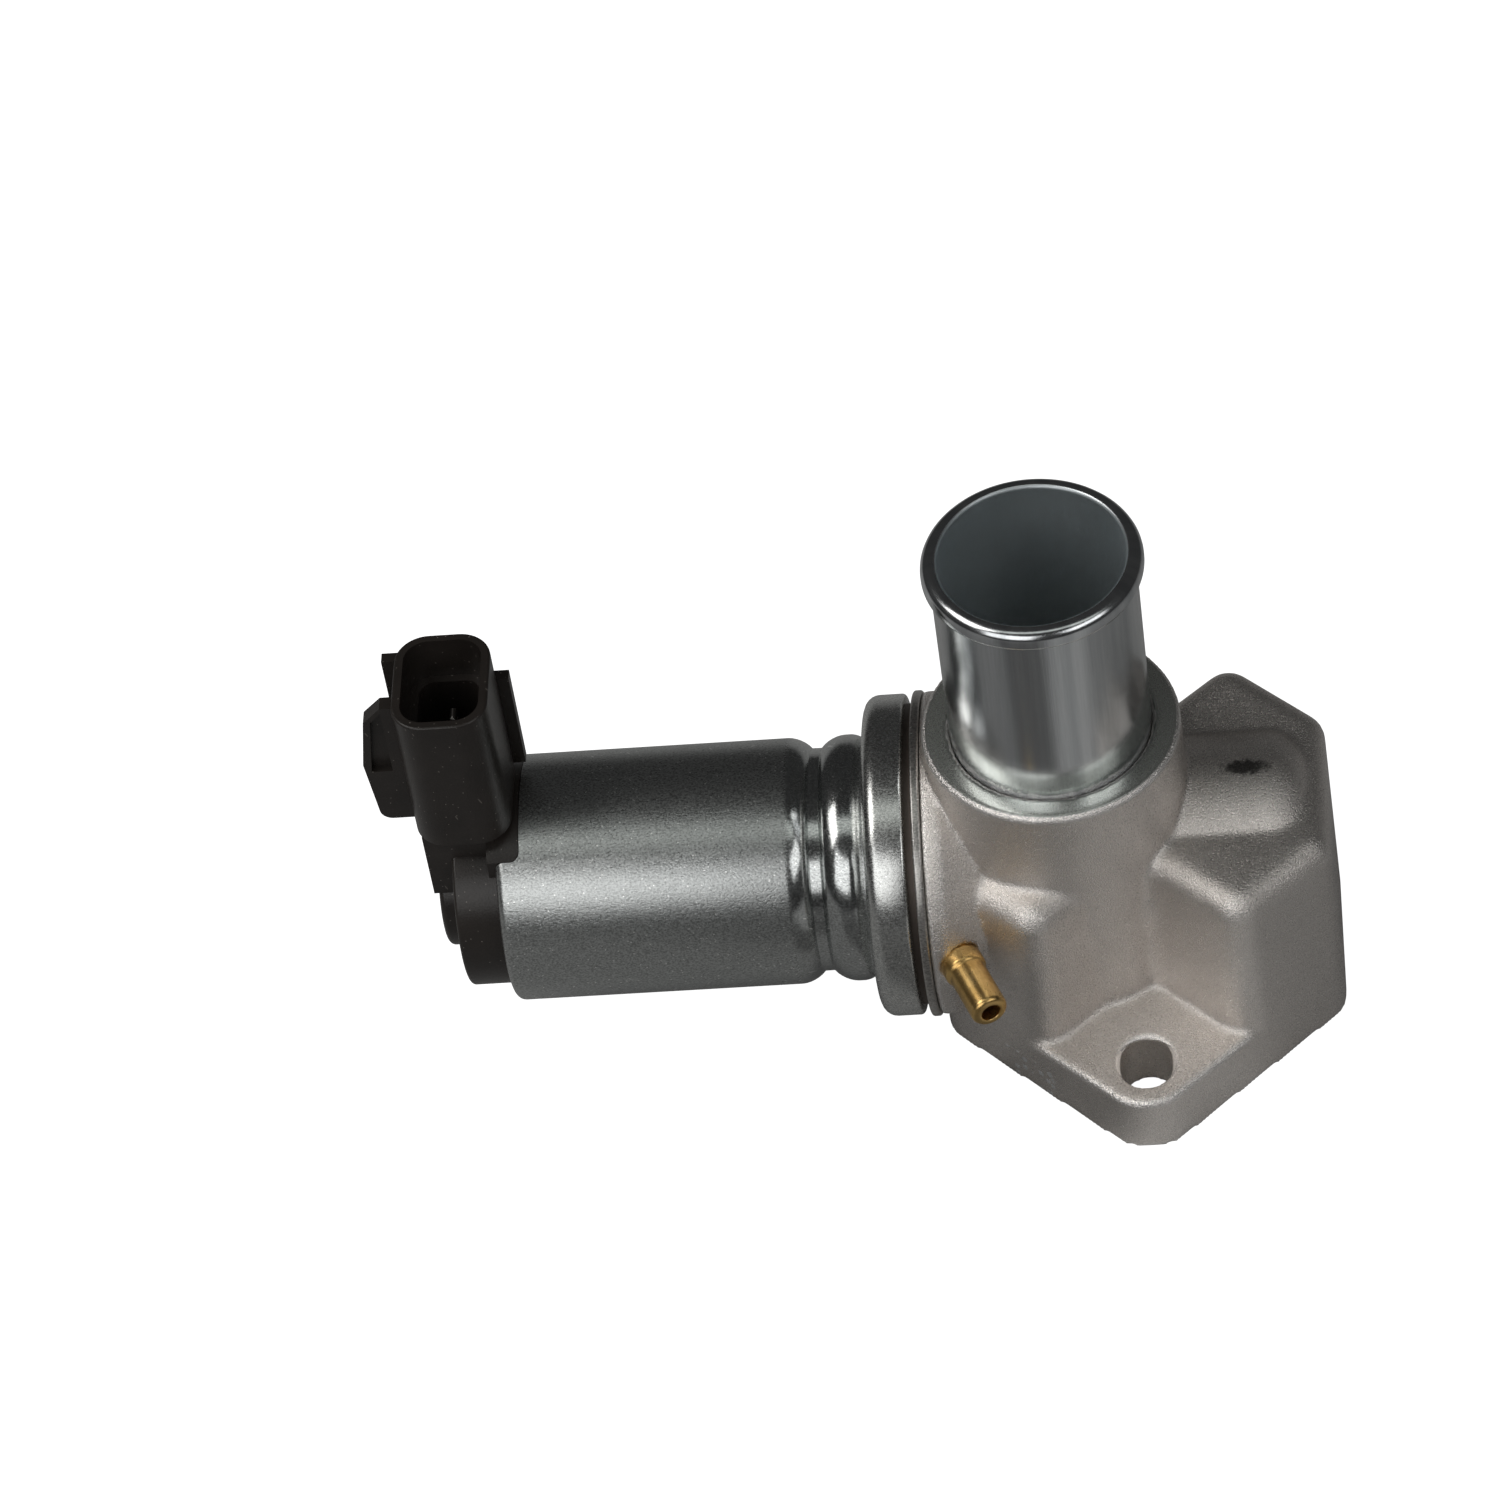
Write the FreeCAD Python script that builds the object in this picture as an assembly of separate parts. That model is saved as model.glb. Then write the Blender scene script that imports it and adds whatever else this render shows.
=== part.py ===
"""Idle air control valve: cast body, hose tube, vacuum nipple, solenoid and connector.

Millimetres. The mounting face is z = 0 with the origin midway between its two bolt slots,
+Z points away from the engine along the hose tube, and the solenoid lies along -X.
"""
import FreeCAD, Part
import math
import os
from FreeCAD import Vector

# Mounting flange and block
FLANGE_HALF_WIDTH = 25.7
FLANGE_FLAT_HALF = 11.45
APEX_Y = 34.9
EAR_THICKNESS = 8.5
BLOCK_HEIGHT = 32.0
DRAFT_DEG = 1.5
RIDGE_X = 12.9
VALLEY_Y = 11.5
APEX_ROUND = 6.5
RIDGE_ROUND = 4.4
VALLEY_ROUND = 4.6
CORNER_ROUND = 4.3
EDGE_ROUND = 3.4
EAR_EDGE_ROUND = 0.8

# Bolt slots
BOLT_SPACING = 50.8
SLOT_WIDTH = 6.4
SLOT_LENGTH = 7.9
SLOT_CHAMFER = 0.35

# Hose boss and tube
TUBE_OD = 25.4
TUBE_WALL = 1.1
BOSS_WALL = 3.65
BOSS_TO_FACE = 0.55
BOSS_TOP = 45.5
BOSS_RIM_ROUND = 0.7
TUBE_SEAT_DEPTH = 8.0
TUBE_STICK_OUT = 30.4
BEAD_RISE = 1.0
BEAD_LENGTH = 2.5
BEAD_ROUND = 1.1
MOUTH_ROUND = 0.8
RISER_RADIUS = 9.5

# Solenoid axis, machined face and neck
AXIS_Z = 22.0
FACE_STEP = 0.2
NECK_RADIUS = 20.7
NECK_RIM = 2.2
NECK_FACE_ROUND = 0.4
NECK_RIM_ROUND = 0.8
CONE_ROUND = 1.0
NECK_LENGTH = 7.7
CONE_END_RADIUS = 16.4
PILOT_RADIUS = 10.0
PILOT_DEPTH = 3.3
PILOT_GAP = 0.05
SEAL_WIDTH = 1.5
SEAL_GROOVE_DEPTH = 1.5
SEAL_GROOVE_GAP = 0.3
CHAMBER_RADIUS = 9.6

# Valve seat and outlet
RISER_TO_SEAT = 0.1
SEAT_LENGTH = 3.0
SEAT_RADIUS = 9.0
SEAT_BORE = 6.5
SEAT_LIP = 0.4
SEAT_LIP_WIDTH = 0.9
SEAT_TO_PORT = 0.9
PORT_RADIUS = 8.5
PORT_RISE = 8.6
HUMP_RADIUS = 13.2
HUMP_END_WALL = 1.4
HUMP_END_ROUND = 5.5

# Vacuum nipple
NIPPLE_ANGLE_DEG = 23.5
NIPPLE_SETBACK = 4.0
NIPPLE_SINK = 0.5
NIPPLE_RISE = 1.1
NIPPLE_RADIUS = 2.4
NIPPLE_COLLAR_RADIUS = 2.75
NIPPLE_COLLAR_LENGTH = 1.9
NIPPLE_COLLAR_CHAMFER = 0.4
NIPPLE_LENGTH = 8.6
NIPPLE_ROOT = 2.2
NIPPLE_TIP_ROUND = 0.8
NIPPLE_BORE = 1.25

# Plates stacked on the machined face
PLATE_OVERHANG = 0.2
CLAMP_PLATE_THICKNESS = 1.15
GASKET_THICKNESS = 1.0
GASKET_INSET = 1.3
RING_INSET = 0.1
RING_LENGTH = 5.3
RING_WALL = 1.9
RING_LIP = 1.0
RING_REAR_ROUND = 1.9
RING_FRONT_ROUND = 0.5

# Solenoid can
CAN_RADIUS = 15.8
CAN_WALL = 1.1
CAN_LENGTH_TO_FACE = 54.5
CAN_SHOULDER_ROUND = 1.1
CAN_REAR_LIP = 2.3
CAN_FLANGE_GAP = 0.1
GROOVE_TO_FACE = 14.0
GROOVE_FLOOR = 0.7
GROOVE_FLANK = 1.5
GROOVE_DEPTH = 1.9
GROOVE_ROUND = 1.8
BAND_TO_FACE = 8.1
BAND_SLOPE = 0.9
NECK_DOWN = 0.5
CAP_GAP = 0.05
NOTCH_HALF_WIDTH = 8.9
NOTCH_DEPTH = 3.2
NOTCH_ROUND = 1.2

# Coil, magnet circuit and sleeve
COIL_DEPTH = 3.3
COIL_INSET = 0.7
ARMATURE_LENGTH = 19.5
ARMATURE_CLEARANCE = 0.06
ARMATURE_CHAMFER = 0.4
AIR_GROOVE = 1.6
SLEEVE_WALL = 0.54
SLEEVE_SEAT = 1.0
BOBBIN_WALL = 1.0
BOBBIN_CLEARANCE = 0.1
BOBBIN_FLANGE = 1.4
REAR_WASHER_THICKNESS = 1.8
STROKE = 4.5
POLE_GAP = 0.3
FRONT_GAP = 1.2
POLE_DISH_RADIUS = 3.0
POLE_DISH_DEPTH = 0.6

# Plunger
STEM_RADIUS = 2.0
BUSH_WALL = 1.35
BUSH_CLEARANCE = 0.05
POPPET_LAP = 1.5
POPPET_RIM = 1.7
POPPET_HUB_WALL = 1.4
POPPET_HUB_LENGTH = 1.5
POPPET_LENGTH = 5.0
SEAT_GAP = 0.05
CLIP_GROOVE = 0.5
CLIP_THICKNESS = 0.6
CLIP_RISE = 1.4
CLIP_MOUTH = 1.4
STEM_TIP = 1.0
STEM_TIP_CHAMFER = 0.4
SPRING_SEAT_THICKNESS = 0.8
SPRING_SEAT_FLANGE = 1.5
SPRING_SEAT_HUB = 1.2
SPRING_SEAT_GAP = 0.15
SPRING_RADIUS = 4.9
SPRING_WIRE = 0.8
SPRING_TURNS = 5.5
SPRING_SIDES = 6

# End cap and connector
CAP_FLANGE_GAP = 0.1
CAP_FLANGE_LENGTH = 0.8
CAP_FLANGE_RISE = 1.1
CAP_LENGTH = 5.8
CAP_EDGE_ROUND = 0.5
CAP_BOSS_RADIUS = 8.2
CAP_BOSS_LENGTH = 8.45
CAP_BOSS_ROUND = 0.8
CAP_BLOCK_LENGTH = 8.95
CAP_BLOCK_HALF_WIDTH = 6.45
CAP_BLOCK_RISE = 5.2
CONNECTOR_SETBACK = 3.6
CONNECTOR_LENGTH = 12.2
CONNECTOR_WIDTH = 16.0
CONNECTOR_CLEAR = 0.2
CONNECTOR_HEIGHT = 22.0
CONNECTOR_ROUND = 4.2
RIM_ROUND = 0.35
SHROUD_WALL = 1.15
SHROUD_DEPTH = 15.2
SHROUD_STEP = 1.1
SHROUD_STEP_DEPTH = 6.4
LUG_REACH = 5.2
LUG_NEAR_Y = -3.4
LUG_THICKNESS = 2.0
LUG_FOOT_RISE = 0.7
LUG_HEIGHT = 20.4
LUG_CORNER = 2.4
LUG_FOOT_ROUND = 1.6
LUG_RECESS_DEPTH = 1.1
LUG_RECESS_FOOT = 8.9
LUG_RECESS_WIDTH = 2.7
LUG_FRAME = 0.9
GUIDE_Y = 6.2
GUIDE_WIDTH = 1.5
GUIDE_LEFT_REACH = 2.0
GUIDE_LEFT_DROP = 1.8
GUIDE_RIGHT_REACH = 1.35
GUIDE_RIGHT_DROP = 6.2
LATCH_REACH = 1.4
LATCH_DROP = 5.0
LATCH_HEIGHT = 4.0
PIN_SPACING = 6.0
PIN_WIDTH = 2.0
PIN_THICKNESS = 0.7
PIN_TIP_CHAMFER = 0.28
PIN_RECESS = 9.2
PIN_FOOT_DROP = 1.6
PIN_FOOT_OVERLAP = 0.3
PIN_SLOT_GAP = 0.3

# How far a cutter runs past the faces that it opens
PAST = 1.0

X_AXIS = Vector(1, 0, 0)
Z_AXIS = Vector(0, 0, 1)
AXIS_POINT = Vector(0, 0, AXIS_Z)

FACE_X = -FLANGE_HALF_WIDTH - FACE_STEP
BOSS_RADIUS = TUBE_OD / 2 + BOSS_WALL
TUBE_X = FACE_X + BOSS_TO_FACE + BOSS_RADIUS
TUBE_BORE = TUBE_OD / 2 - TUBE_WALL
TUBE_FOOT = BOSS_TOP - TUBE_SEAT_DEPTH
TUBE_TOP = BOSS_TOP + TUBE_STICK_OUT
SEAT_X = TUBE_X + RISER_RADIUS + RISER_TO_SEAT
SEAT_END_X = SEAT_X + SEAT_LENGTH
PORT_X = SEAT_END_X + SEAT_TO_PORT + PORT_RADIUS
HUMP_END_X = PORT_X + PORT_RADIUS + HUMP_END_WALL
CONE_END_X = FACE_X + NECK_LENGTH
PILOT_END_X = FACE_X + PILOT_DEPTH
SEAL_MIDDLE_X = (FACE_X + PILOT_END_X) / 2
PILOT_BORE = PILOT_RADIUS + PILOT_GAP

PLATE_X = FACE_X - CLAMP_PLATE_THICKNESS
RING_FRONT_X = PLATE_X - GASKET_THICKNESS
RING_BACK_X = RING_FRONT_X - RING_LENGTH
RING_RADIUS = NECK_RADIUS - RING_INSET
RING_INNER = RING_RADIUS - RING_WALL
CAN_FLANGE_X = RING_BACK_X + RING_LIP
POLE_BACK_X = CAN_FLANGE_X + CAN_WALL

CAN_END_X = FACE_X - CAN_LENGTH_TO_FACE
CAP_SEAT_X = CAN_END_X + CAN_WALL
NECKED_RADIUS = CAN_RADIUS - NECK_DOWN
CAP_RADIUS = CAN_RADIUS - CAN_REAR_LIP
CAP_FLANGE_RADIUS = CAN_RADIUS - CAN_WALL - CAP_FLANGE_GAP
CAP_CORE_RADIUS = CAP_RADIUS - CAP_FLANGE_RISE
REAR_WASHER_X = CAN_END_X + NOTCH_DEPTH
BOBBIN_REAR_X = REAR_WASHER_X + REAR_WASHER_THICKNESS
BOBBIN_RADIUS = CAN_RADIUS - CAN_WALL - GROOVE_DEPTH - BOBBIN_CLEARANCE
COIL_RADIUS = BOBBIN_RADIUS - COIL_INSET
BOBBIN_BARREL = COIL_RADIUS - COIL_DEPTH
BOBBIN_BORE = BOBBIN_BARREL - BOBBIN_WALL
SLEEVE_RADIUS = BOBBIN_BORE - BOBBIN_CLEARANCE
SLEEVE_BORE = SLEEVE_RADIUS - SLEEVE_WALL
ARMATURE_RADIUS = SLEEVE_BORE - ARMATURE_CLEARANCE
ARMATURE_FRONT_X = POLE_BACK_X - FRONT_GAP
ARMATURE_REAR_X = ARMATURE_FRONT_X - ARMATURE_LENGTH

POPPET_FACE_X = SEAT_X - SEAT_GAP
POPPET_BACK_X = POPPET_FACE_X - POPPET_LENGTH
BUSH_RADIUS = STEM_RADIUS + BUSH_CLEARANCE + BUSH_WALL

CONNECTOR_X = CAN_END_X - CONNECTOR_SETBACK
CONNECTOR_FOOT = AXIS_Z + CAN_RADIUS + CONNECTOR_CLEAR
CONNECTOR_TOP = CONNECTOR_FOOT + CONNECTOR_HEIGHT
PIN_TIP = CONNECTOR_TOP - PIN_RECESS
PIN_FOOT_Z = AXIS_Z + BOBBIN_RADIUS - PIN_FOOT_DROP
PIN_FOOT_END_X = BOBBIN_REAR_X + BOBBIN_FLANGE - PIN_FOOT_OVERLAP


def rounded_wire(corners, place):
    """Closed wire through corners (u, v, radius); place turns (u, v) into a point."""
    entries = []
    count = len(corners)
    for i in range(count):
        u, v, radius = corners[i]
        before = corners[i - 1]
        after = corners[(i + 1) % count]
        here = Vector(u, v, 0)
        to_before = (Vector(before[0], before[1], 0) - here).normalize()
        to_after = (Vector(after[0], after[1], 0) - here).normalize()
        if radius <= 0:
            entries.append((here, None, here))
            continue
        half = to_before.getAngle(to_after) / 2
        reach = radius / math.tan(half)
        bisector = (to_before + to_after).normalize()
        middle = here + bisector * (radius / math.sin(half) - radius)
        entries.append((here + to_before * reach, middle, here + to_after * reach))
    edges = []
    for i in range(count):
        start, middle, end = entries[i]
        if middle is not None:
            edges.append(Part.Arc(place(start), place(middle), place(end)).toShape())
        next_start = entries[(i + 1) % count][0]
        if (next_start - end).Length > 1e-6:
            edges.append(Part.LineSegment(place(end), place(next_start)).toShape())
    return Part.Wire(edges)


def turned(profile):
    """Solid of revolution about the solenoid axis from (x, radius, corner radius) points."""
    wire = rounded_wire(profile, lambda p: Vector(p.x, 0, AXIS_Z + p.y))
    return Part.Face(wire).revolve(AXIS_POINT, X_AXIS, 360)


def turned_upright(profile, x):
    """Solid of revolution about a vertical axis at x from (radius, z, corner radius) points."""
    wire = rounded_wire(profile, lambda p: Vector(x + p.x, 0, p.y))
    return Part.Face(wire).revolve(Vector(x, 0, 0), Z_AXIS, 360)


def along_x(radius, x_start, x_end):
    """Cylinder on the solenoid axis."""
    return Part.makeCylinder(radius, x_end - x_start, Vector(x_start, 0, AXIS_Z), X_AXIS)


def upright(radius, x, z_start, z_end):
    """Vertical cylinder on the plane of symmetry."""
    return Part.makeCylinder(radius, z_end - z_start, Vector(x, 0, z_start), Z_AXIS)


def ring_x(outer, inner, x_start, x_end):
    """Plain washer or sleeve on the solenoid axis."""
    return along_x(outer, x_start, x_end).cut(along_x(inner, x_start - PAST, x_end + PAST))


def box(x0, x1, y0, y1, z0, z1):
    """Box between two corners."""
    return Part.makeBox(x1 - x0, y1 - y0, z1 - z0, Vector(x0, y0, z0))


def hexagon(ridges):
    """Flange outline as (x, y, radius); with ridges, a V notch is cut in for each bolt."""
    slope = (APEX_Y - FLANGE_FLAT_HALF) / FLANGE_HALF_WIDTH
    ridge_y = APEX_Y - slope * RIDGE_X
    quarter = [(FLANGE_HALF_WIDTH, FLANGE_FLAT_HALF, CORNER_ROUND)]
    if ridges:
        quarter.append((RIDGE_X, ridge_y, RIDGE_ROUND))
        tip = (0, VALLEY_Y, VALLEY_ROUND)
    else:
        tip = (0, APEX_Y, APEX_ROUND)
    top_half = quarter + [tip] + [(-x, y, r) for x, y, r in reversed(quarter)]
    bottom_half = [(-x, -y, r) for x, y, r in top_half]
    return top_half + bottom_half


def inset(corners, distance):
    """The same outline with every side moved inwards by a distance."""
    count = len(corners)
    moved = []
    for i in range(count):
        before, here, after = corners[i - 1], corners[i], corners[(i + 1) % count]
        first = Vector(here[0] - before[0], here[1] - before[1], 0).normalize()
        second = Vector(after[0] - here[0], after[1] - here[1], 0).normalize()
        turn = first.x * second.y - first.y * second.x
        normals = Vector(-first.y, first.x, 0) + Vector(-second.y, second.x, 0)
        scale = distance / (1 + first.dot(second))
        radius = max(here[2] - math.copysign(distance, turn), 0.5)
        moved.append((here[0] + normals.x * scale, here[1] + normals.y * scale, radius))
    return moved


def drafted_prism(corners, z_base, z_top):
    """Prism whose walls lean in by the draft angle, with its outline given at z = 0."""
    wires = []
    for z in (z_base, z_top):
        outline = inset(corners, z * math.tan(math.radians(DRAFT_DEG)))
        wires.append(rounded_wire(outline, lambda p: Vector(p.x, p.y, z)))
    return Part.makeLoft(wires, True, True)


def edges_at(shape, z):
    """Edges that lie in the horizontal plane at z."""
    return [e for e in shape.Edges if abs(e.BoundBox.ZMin - z) < 1e-4 and abs(e.BoundBox.ZMax - z) < 1e-4]


def nipple_frame():
    """Origin and direction of the nipple's axis."""
    angle = math.radians(NIPPLE_ANGLE_DEG)
    origin = Vector(FACE_X + NIPPLE_SETBACK, NIPPLE_SINK - NECK_RADIUS, AXIS_Z + NIPPLE_RISE)
    return origin, Vector(math.sin(angle), -math.cos(angle), 0)


def nipple_cylinder(radius, start, end):
    """Cylinder on the nipple's axis between two distances from its origin."""
    origin, direction = nipple_frame()
    return Part.makeCylinder(radius, end - start, origin + direction * start, direction)


def casting_outside():
    """Flange, block, boss, neck and chamber hump before any machining."""
    plate = drafted_prism(hexagon(False), 0, EAR_THICKNESS)
    plate = plate.makeFillet(EAR_EDGE_ROUND, edges_at(plate, EAR_THICKNESS))
    block = drafted_prism(hexagon(True), EAR_THICKNESS / 2, BLOCK_HEIGHT)
    block = block.makeFillet(EDGE_ROUND, edges_at(block, BLOCK_HEIGHT))
    boss = upright(BOSS_RADIUS, TUBE_X, EAR_THICKNESS / 2, BOSS_TOP)
    boss = boss.makeFillet(BOSS_RIM_ROUND, edges_at(boss, BOSS_TOP))
    neck = turned([
        (FACE_X, 0, 0),
        (FACE_X, NECK_RADIUS, NECK_FACE_ROUND),
        (FACE_X + NECK_RIM, NECK_RADIUS, NECK_RIM_ROUND),
        (CONE_END_X, CONE_END_RADIUS, CONE_ROUND),
        (TUBE_X, CONE_END_RADIUS, 0),
        (TUBE_X, 0, 0),
    ])
    hump = turned([
        (TUBE_X, 0, 0),
        (TUBE_X, HUMP_RADIUS, 0),
        (HUMP_END_X, HUMP_RADIUS, HUMP_END_ROUND),
        (HUMP_END_X, 0, 0),
    ])
    return plate.fuse([block, boss, neck, hump]).removeSplitter()


def bolt_slot(y):
    """Slot cutter along Y with a small chamfer at its upper edge."""
    half_run = (SLOT_LENGTH - SLOT_WIDTH) / 2
    radius = SLOT_WIDTH / 2
    cutter = box(-radius, radius, y - half_run, y + half_run, -PAST, EAR_THICKNESS + PAST)
    for end in (y - half_run, y + half_run):
        cutter = cutter.fuse(Part.makeCylinder(radius, EAR_THICKNESS + 2 * PAST, Vector(0, end, -PAST)))
        sink = Part.makeCone(radius, radius + 2 * SLOT_CHAMFER, 2 * SLOT_CHAMFER,
                             Vector(0, end, EAR_THICKNESS - SLOT_CHAMFER))
        cutter = cutter.fuse(sink)
    return cutter


def vacuum_passage():
    """Drilling from the foot of the nipple's socket into the inlet chamber."""
    origin, direction = nipple_frame()
    start = origin - direction * (NIPPLE_ROOT + NIPPLE_COLLAR_LENGTH / 2 - NIPPLE_BORE)
    target = Vector(TUBE_X - RISER_RADIUS / 2, -CHAMBER_RADIUS / 2, AXIS_Z)
    return Part.makeCylinder(NIPPLE_BORE, (target - start).Length, start, target - start)


def casting():
    """The body casting with its bores, seats and drillings."""
    body = casting_outside()
    for side in (-1, 1):
        body = body.cut(bolt_slot(side * BOLT_SPACING / 2))
    cutters = [
        upright(TUBE_OD / 2, TUBE_X, TUBE_FOOT, BOSS_TOP + PAST),
        upright(RISER_RADIUS, TUBE_X, AXIS_Z, TUBE_FOOT + PAST),
        along_x(PILOT_BORE, FACE_X - PAST, PILOT_END_X),
        along_x(CHAMBER_RADIUS, PILOT_END_X - PAST, SEAT_X + SEAT_LIP),
        along_x(SEAT_RADIUS, SEAT_X, SEAT_END_X),
        along_x(SEAT_BORE, SEAT_END_X - PAST, PORT_X),
        upright(PORT_RADIUS, PORT_X, -PAST, AXIS_Z + PORT_RISE),
        nipple_cylinder(NIPPLE_RADIUS, -NIPPLE_ROOT - NIPPLE_COLLAR_LENGTH / 2, 0),
        nipple_cylinder(NIPPLE_COLLAR_RADIUS, -NIPPLE_COLLAR_LENGTH / 2, NIPPLE_LENGTH),
        vacuum_passage(),
    ]
    for cutter in cutters:
        body = body.cut(cutter)
    return body


def hose_tube():
    """Drawn tube pressed into the boss, its mouth rolled over to a narrow bead."""
    outer = TUBE_OD / 2
    bead_foot = TUBE_TOP - BEAD_LENGTH
    return turned_upright([
        (TUBE_BORE, TUBE_FOOT, 0),
        (outer, TUBE_FOOT, 0),
        (outer, bead_foot - BEAD_RISE / 2, 0),
        (outer + BEAD_RISE, bead_foot, 0),
        (outer + BEAD_RISE, TUBE_TOP, BEAD_ROUND),
        (TUBE_BORE, TUBE_TOP, MOUTH_ROUND),
    ], TUBE_X)


def vacuum_nipple():
    """Turned nipple: press-in root, collar, barrel with a rounded tip and a through bore."""
    half_collar = NIPPLE_COLLAR_LENGTH / 2
    root = -half_collar - NIPPLE_ROOT
    profile = [
        (root, NIPPLE_BORE, 0),
        (root, NIPPLE_RADIUS, 0),
        (-half_collar, NIPPLE_RADIUS, 0),
        (-half_collar, NIPPLE_COLLAR_RADIUS, 0),
        (half_collar, NIPPLE_COLLAR_RADIUS, 0),
        (half_collar + NIPPLE_COLLAR_CHAMFER, NIPPLE_RADIUS, 0),
        (NIPPLE_LENGTH, NIPPLE_RADIUS, NIPPLE_TIP_ROUND),
        (NIPPLE_LENGTH, NIPPLE_BORE, 0),
    ]
    origin, direction = nipple_frame()
    wire = rounded_wire(profile, lambda p: origin + direction * p.x + Z_AXIS * p.y)
    return Part.Face(wire).revolve(origin, direction, 360)


def valve_seat():
    """Seat ring pressed in from the solenoid side, with a narrow sealing lip."""
    lip_radius = SEAT_BORE + SEAT_LIP_WIDTH
    return turned([
        (SEAT_X, SEAT_BORE, 0),
        (SEAT_X, lip_radius, 0),
        (SEAT_X + SEAT_LIP, lip_radius + SEAT_LIP, 0),
        (SEAT_X + SEAT_LIP, SEAT_RADIUS, 0),
        (SEAT_END_X, SEAT_RADIUS, 0),
        (SEAT_END_X, SEAT_BORE, 0),
    ])


def clamp_plate():
    """Thin disc against the machined face."""
    return ring_x(NECK_RADIUS + PLATE_OVERHANG, PILOT_BORE, PLATE_X, FACE_X)


def face_gasket():
    """Flat gasket between the disc and the rolled ring."""
    return ring_x(RING_RADIUS - GASKET_INSET, PILOT_BORE, RING_FRONT_X, PLATE_X)


def crimp_ring():
    """Rounded ring rolled over the can's flange and the front pole plate."""
    bore = NECKED_RADIUS + PILOT_GAP
    return turned([
        (RING_BACK_X, bore, 0),
        (RING_BACK_X, RING_RADIUS, RING_REAR_ROUND),
        (RING_FRONT_X, RING_RADIUS, RING_FRONT_ROUND),
        (RING_FRONT_X, RING_INNER, 0),
        (CAN_FLANGE_X, RING_INNER, 0),
        (CAN_FLANGE_X, bore, 0),
    ])


def pole_plate():
    """Front pole plate with its pilot, bored for the bush and grooved for the seal."""
    half_groove = (SEAL_WIDTH + SEAL_GROOVE_GAP) / 2
    groove_radius = PILOT_RADIUS - SEAL_GROOVE_DEPTH
    plate = turned([
        (POLE_BACK_X, BUSH_RADIUS, 0),
        (POLE_BACK_X, RING_INNER, 0),
        (RING_FRONT_X, RING_INNER, 0),
        (RING_FRONT_X, PILOT_RADIUS, 0),
        (SEAL_MIDDLE_X - half_groove, PILOT_RADIUS, 0),
        (SEAL_MIDDLE_X - half_groove, groove_radius, 0),
        (SEAL_MIDDLE_X + half_groove, groove_radius, 0),
        (SEAL_MIDDLE_X + half_groove, PILOT_RADIUS, 0),
        (PILOT_END_X, PILOT_RADIUS, 0),
        (PILOT_END_X, BUSH_RADIUS, 0),
    ])
    seat_end = POLE_BACK_X + SLEEVE_SEAT
    return plate.cut(ring_x(SLEEVE_RADIUS, SLEEVE_BORE, POLE_BACK_X - PAST, seat_end))


def pilot_seal():
    """Seal in the pilot's groove, squeezed flat by the casting's bore."""
    half = SEAL_WIDTH / 2
    return ring_x(PILOT_BORE, PILOT_RADIUS - SEAL_GROOVE_DEPTH, SEAL_MIDDLE_X - half, SEAL_MIDDLE_X + half)


def can_wall_points(shrink, groove_round):
    """Line of the can from its rear shoulder to its front flange, moved in by shrink."""
    groove_x = FACE_X - GROOVE_TO_FACE
    band_x = FACE_X - BAND_TO_FACE
    half = GROOVE_FLOOR / 2
    wall = CAN_RADIUS - shrink
    floor = wall - GROOVE_DEPTH
    return [
        (groove_x - half - GROOVE_FLANK, wall, groove_round),
        (groove_x - half, floor, 0),
        (groove_x + half, floor, 0),
        (groove_x + half + GROOVE_FLANK, wall, groove_round),
        (band_x - BAND_SLOPE, wall, 0),
        (band_x, NECKED_RADIUS - shrink, 0),
    ]


def solenoid_can():
    """Drawn can: rolled groove, front flange, rear lip round the cap and a notch on top."""
    opening = CAP_RADIUS + CAP_GAP
    flange_radius = RING_INNER - CAN_FLANGE_GAP
    outer = [(CAN_END_X, opening, 0), (CAN_END_X, CAN_RADIUS, CAN_SHOULDER_ROUND)]
    outer += can_wall_points(0, GROOVE_ROUND)
    outer += [(CAN_FLANGE_X, NECKED_RADIUS, 0), (CAN_FLANGE_X, flange_radius, 0)]
    inner = [(POLE_BACK_X, flange_radius, 0), (POLE_BACK_X, NECKED_RADIUS - CAN_WALL, 0)]
    inner += reversed(can_wall_points(CAN_WALL, 0))
    inner += [(CAP_SEAT_X, CAN_RADIUS - CAN_WALL, 0), (CAP_SEAT_X, opening, 0)]
    shell = turned(outer + inner)
    return shell.cut(notch_block(0))


def notch_block(gap):
    """Space of the can's end notch above the axis, smaller by a gap on each side."""
    half = NOTCH_HALF_WIDTH - gap
    front = CAN_END_X + NOTCH_DEPTH - gap
    block = box(CAN_END_X - PAST, front, -half, half,
                AXIS_Z + CAP_RADIUS / 2, AXIS_Z + CAN_RADIUS + PAST)
    rounded = [e for e in block.Edges if abs(e.BoundBox.XMin - front) < 1e-4 and e.BoundBox.ZLength > 1]
    return block.makeFillet(NOTCH_ROUND, rounded)


def guide_sleeve():
    """Thin non-magnetic tube that the armature slides in."""
    return ring_x(SLEEVE_RADIUS, SLEEVE_BORE, REAR_WASHER_X, POLE_BACK_X + SLEEVE_SEAT)


def rear_pole():
    """Fixed pole in the sleeve's rear end, with a shallow dish towards the armature."""
    face = ARMATURE_REAR_X - STROKE - POLE_GAP
    return turned([
        (REAR_WASHER_X, 0, 0),
        (REAR_WASHER_X, SLEEVE_BORE, 0),
        (face, SLEEVE_BORE, 0),
        (face, POLE_DISH_RADIUS, 0),
        (face - POLE_DISH_DEPTH, POLE_DISH_RADIUS - POLE_DISH_DEPTH, 0),
        (face - POLE_DISH_DEPTH, 0, 0),
    ])


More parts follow.
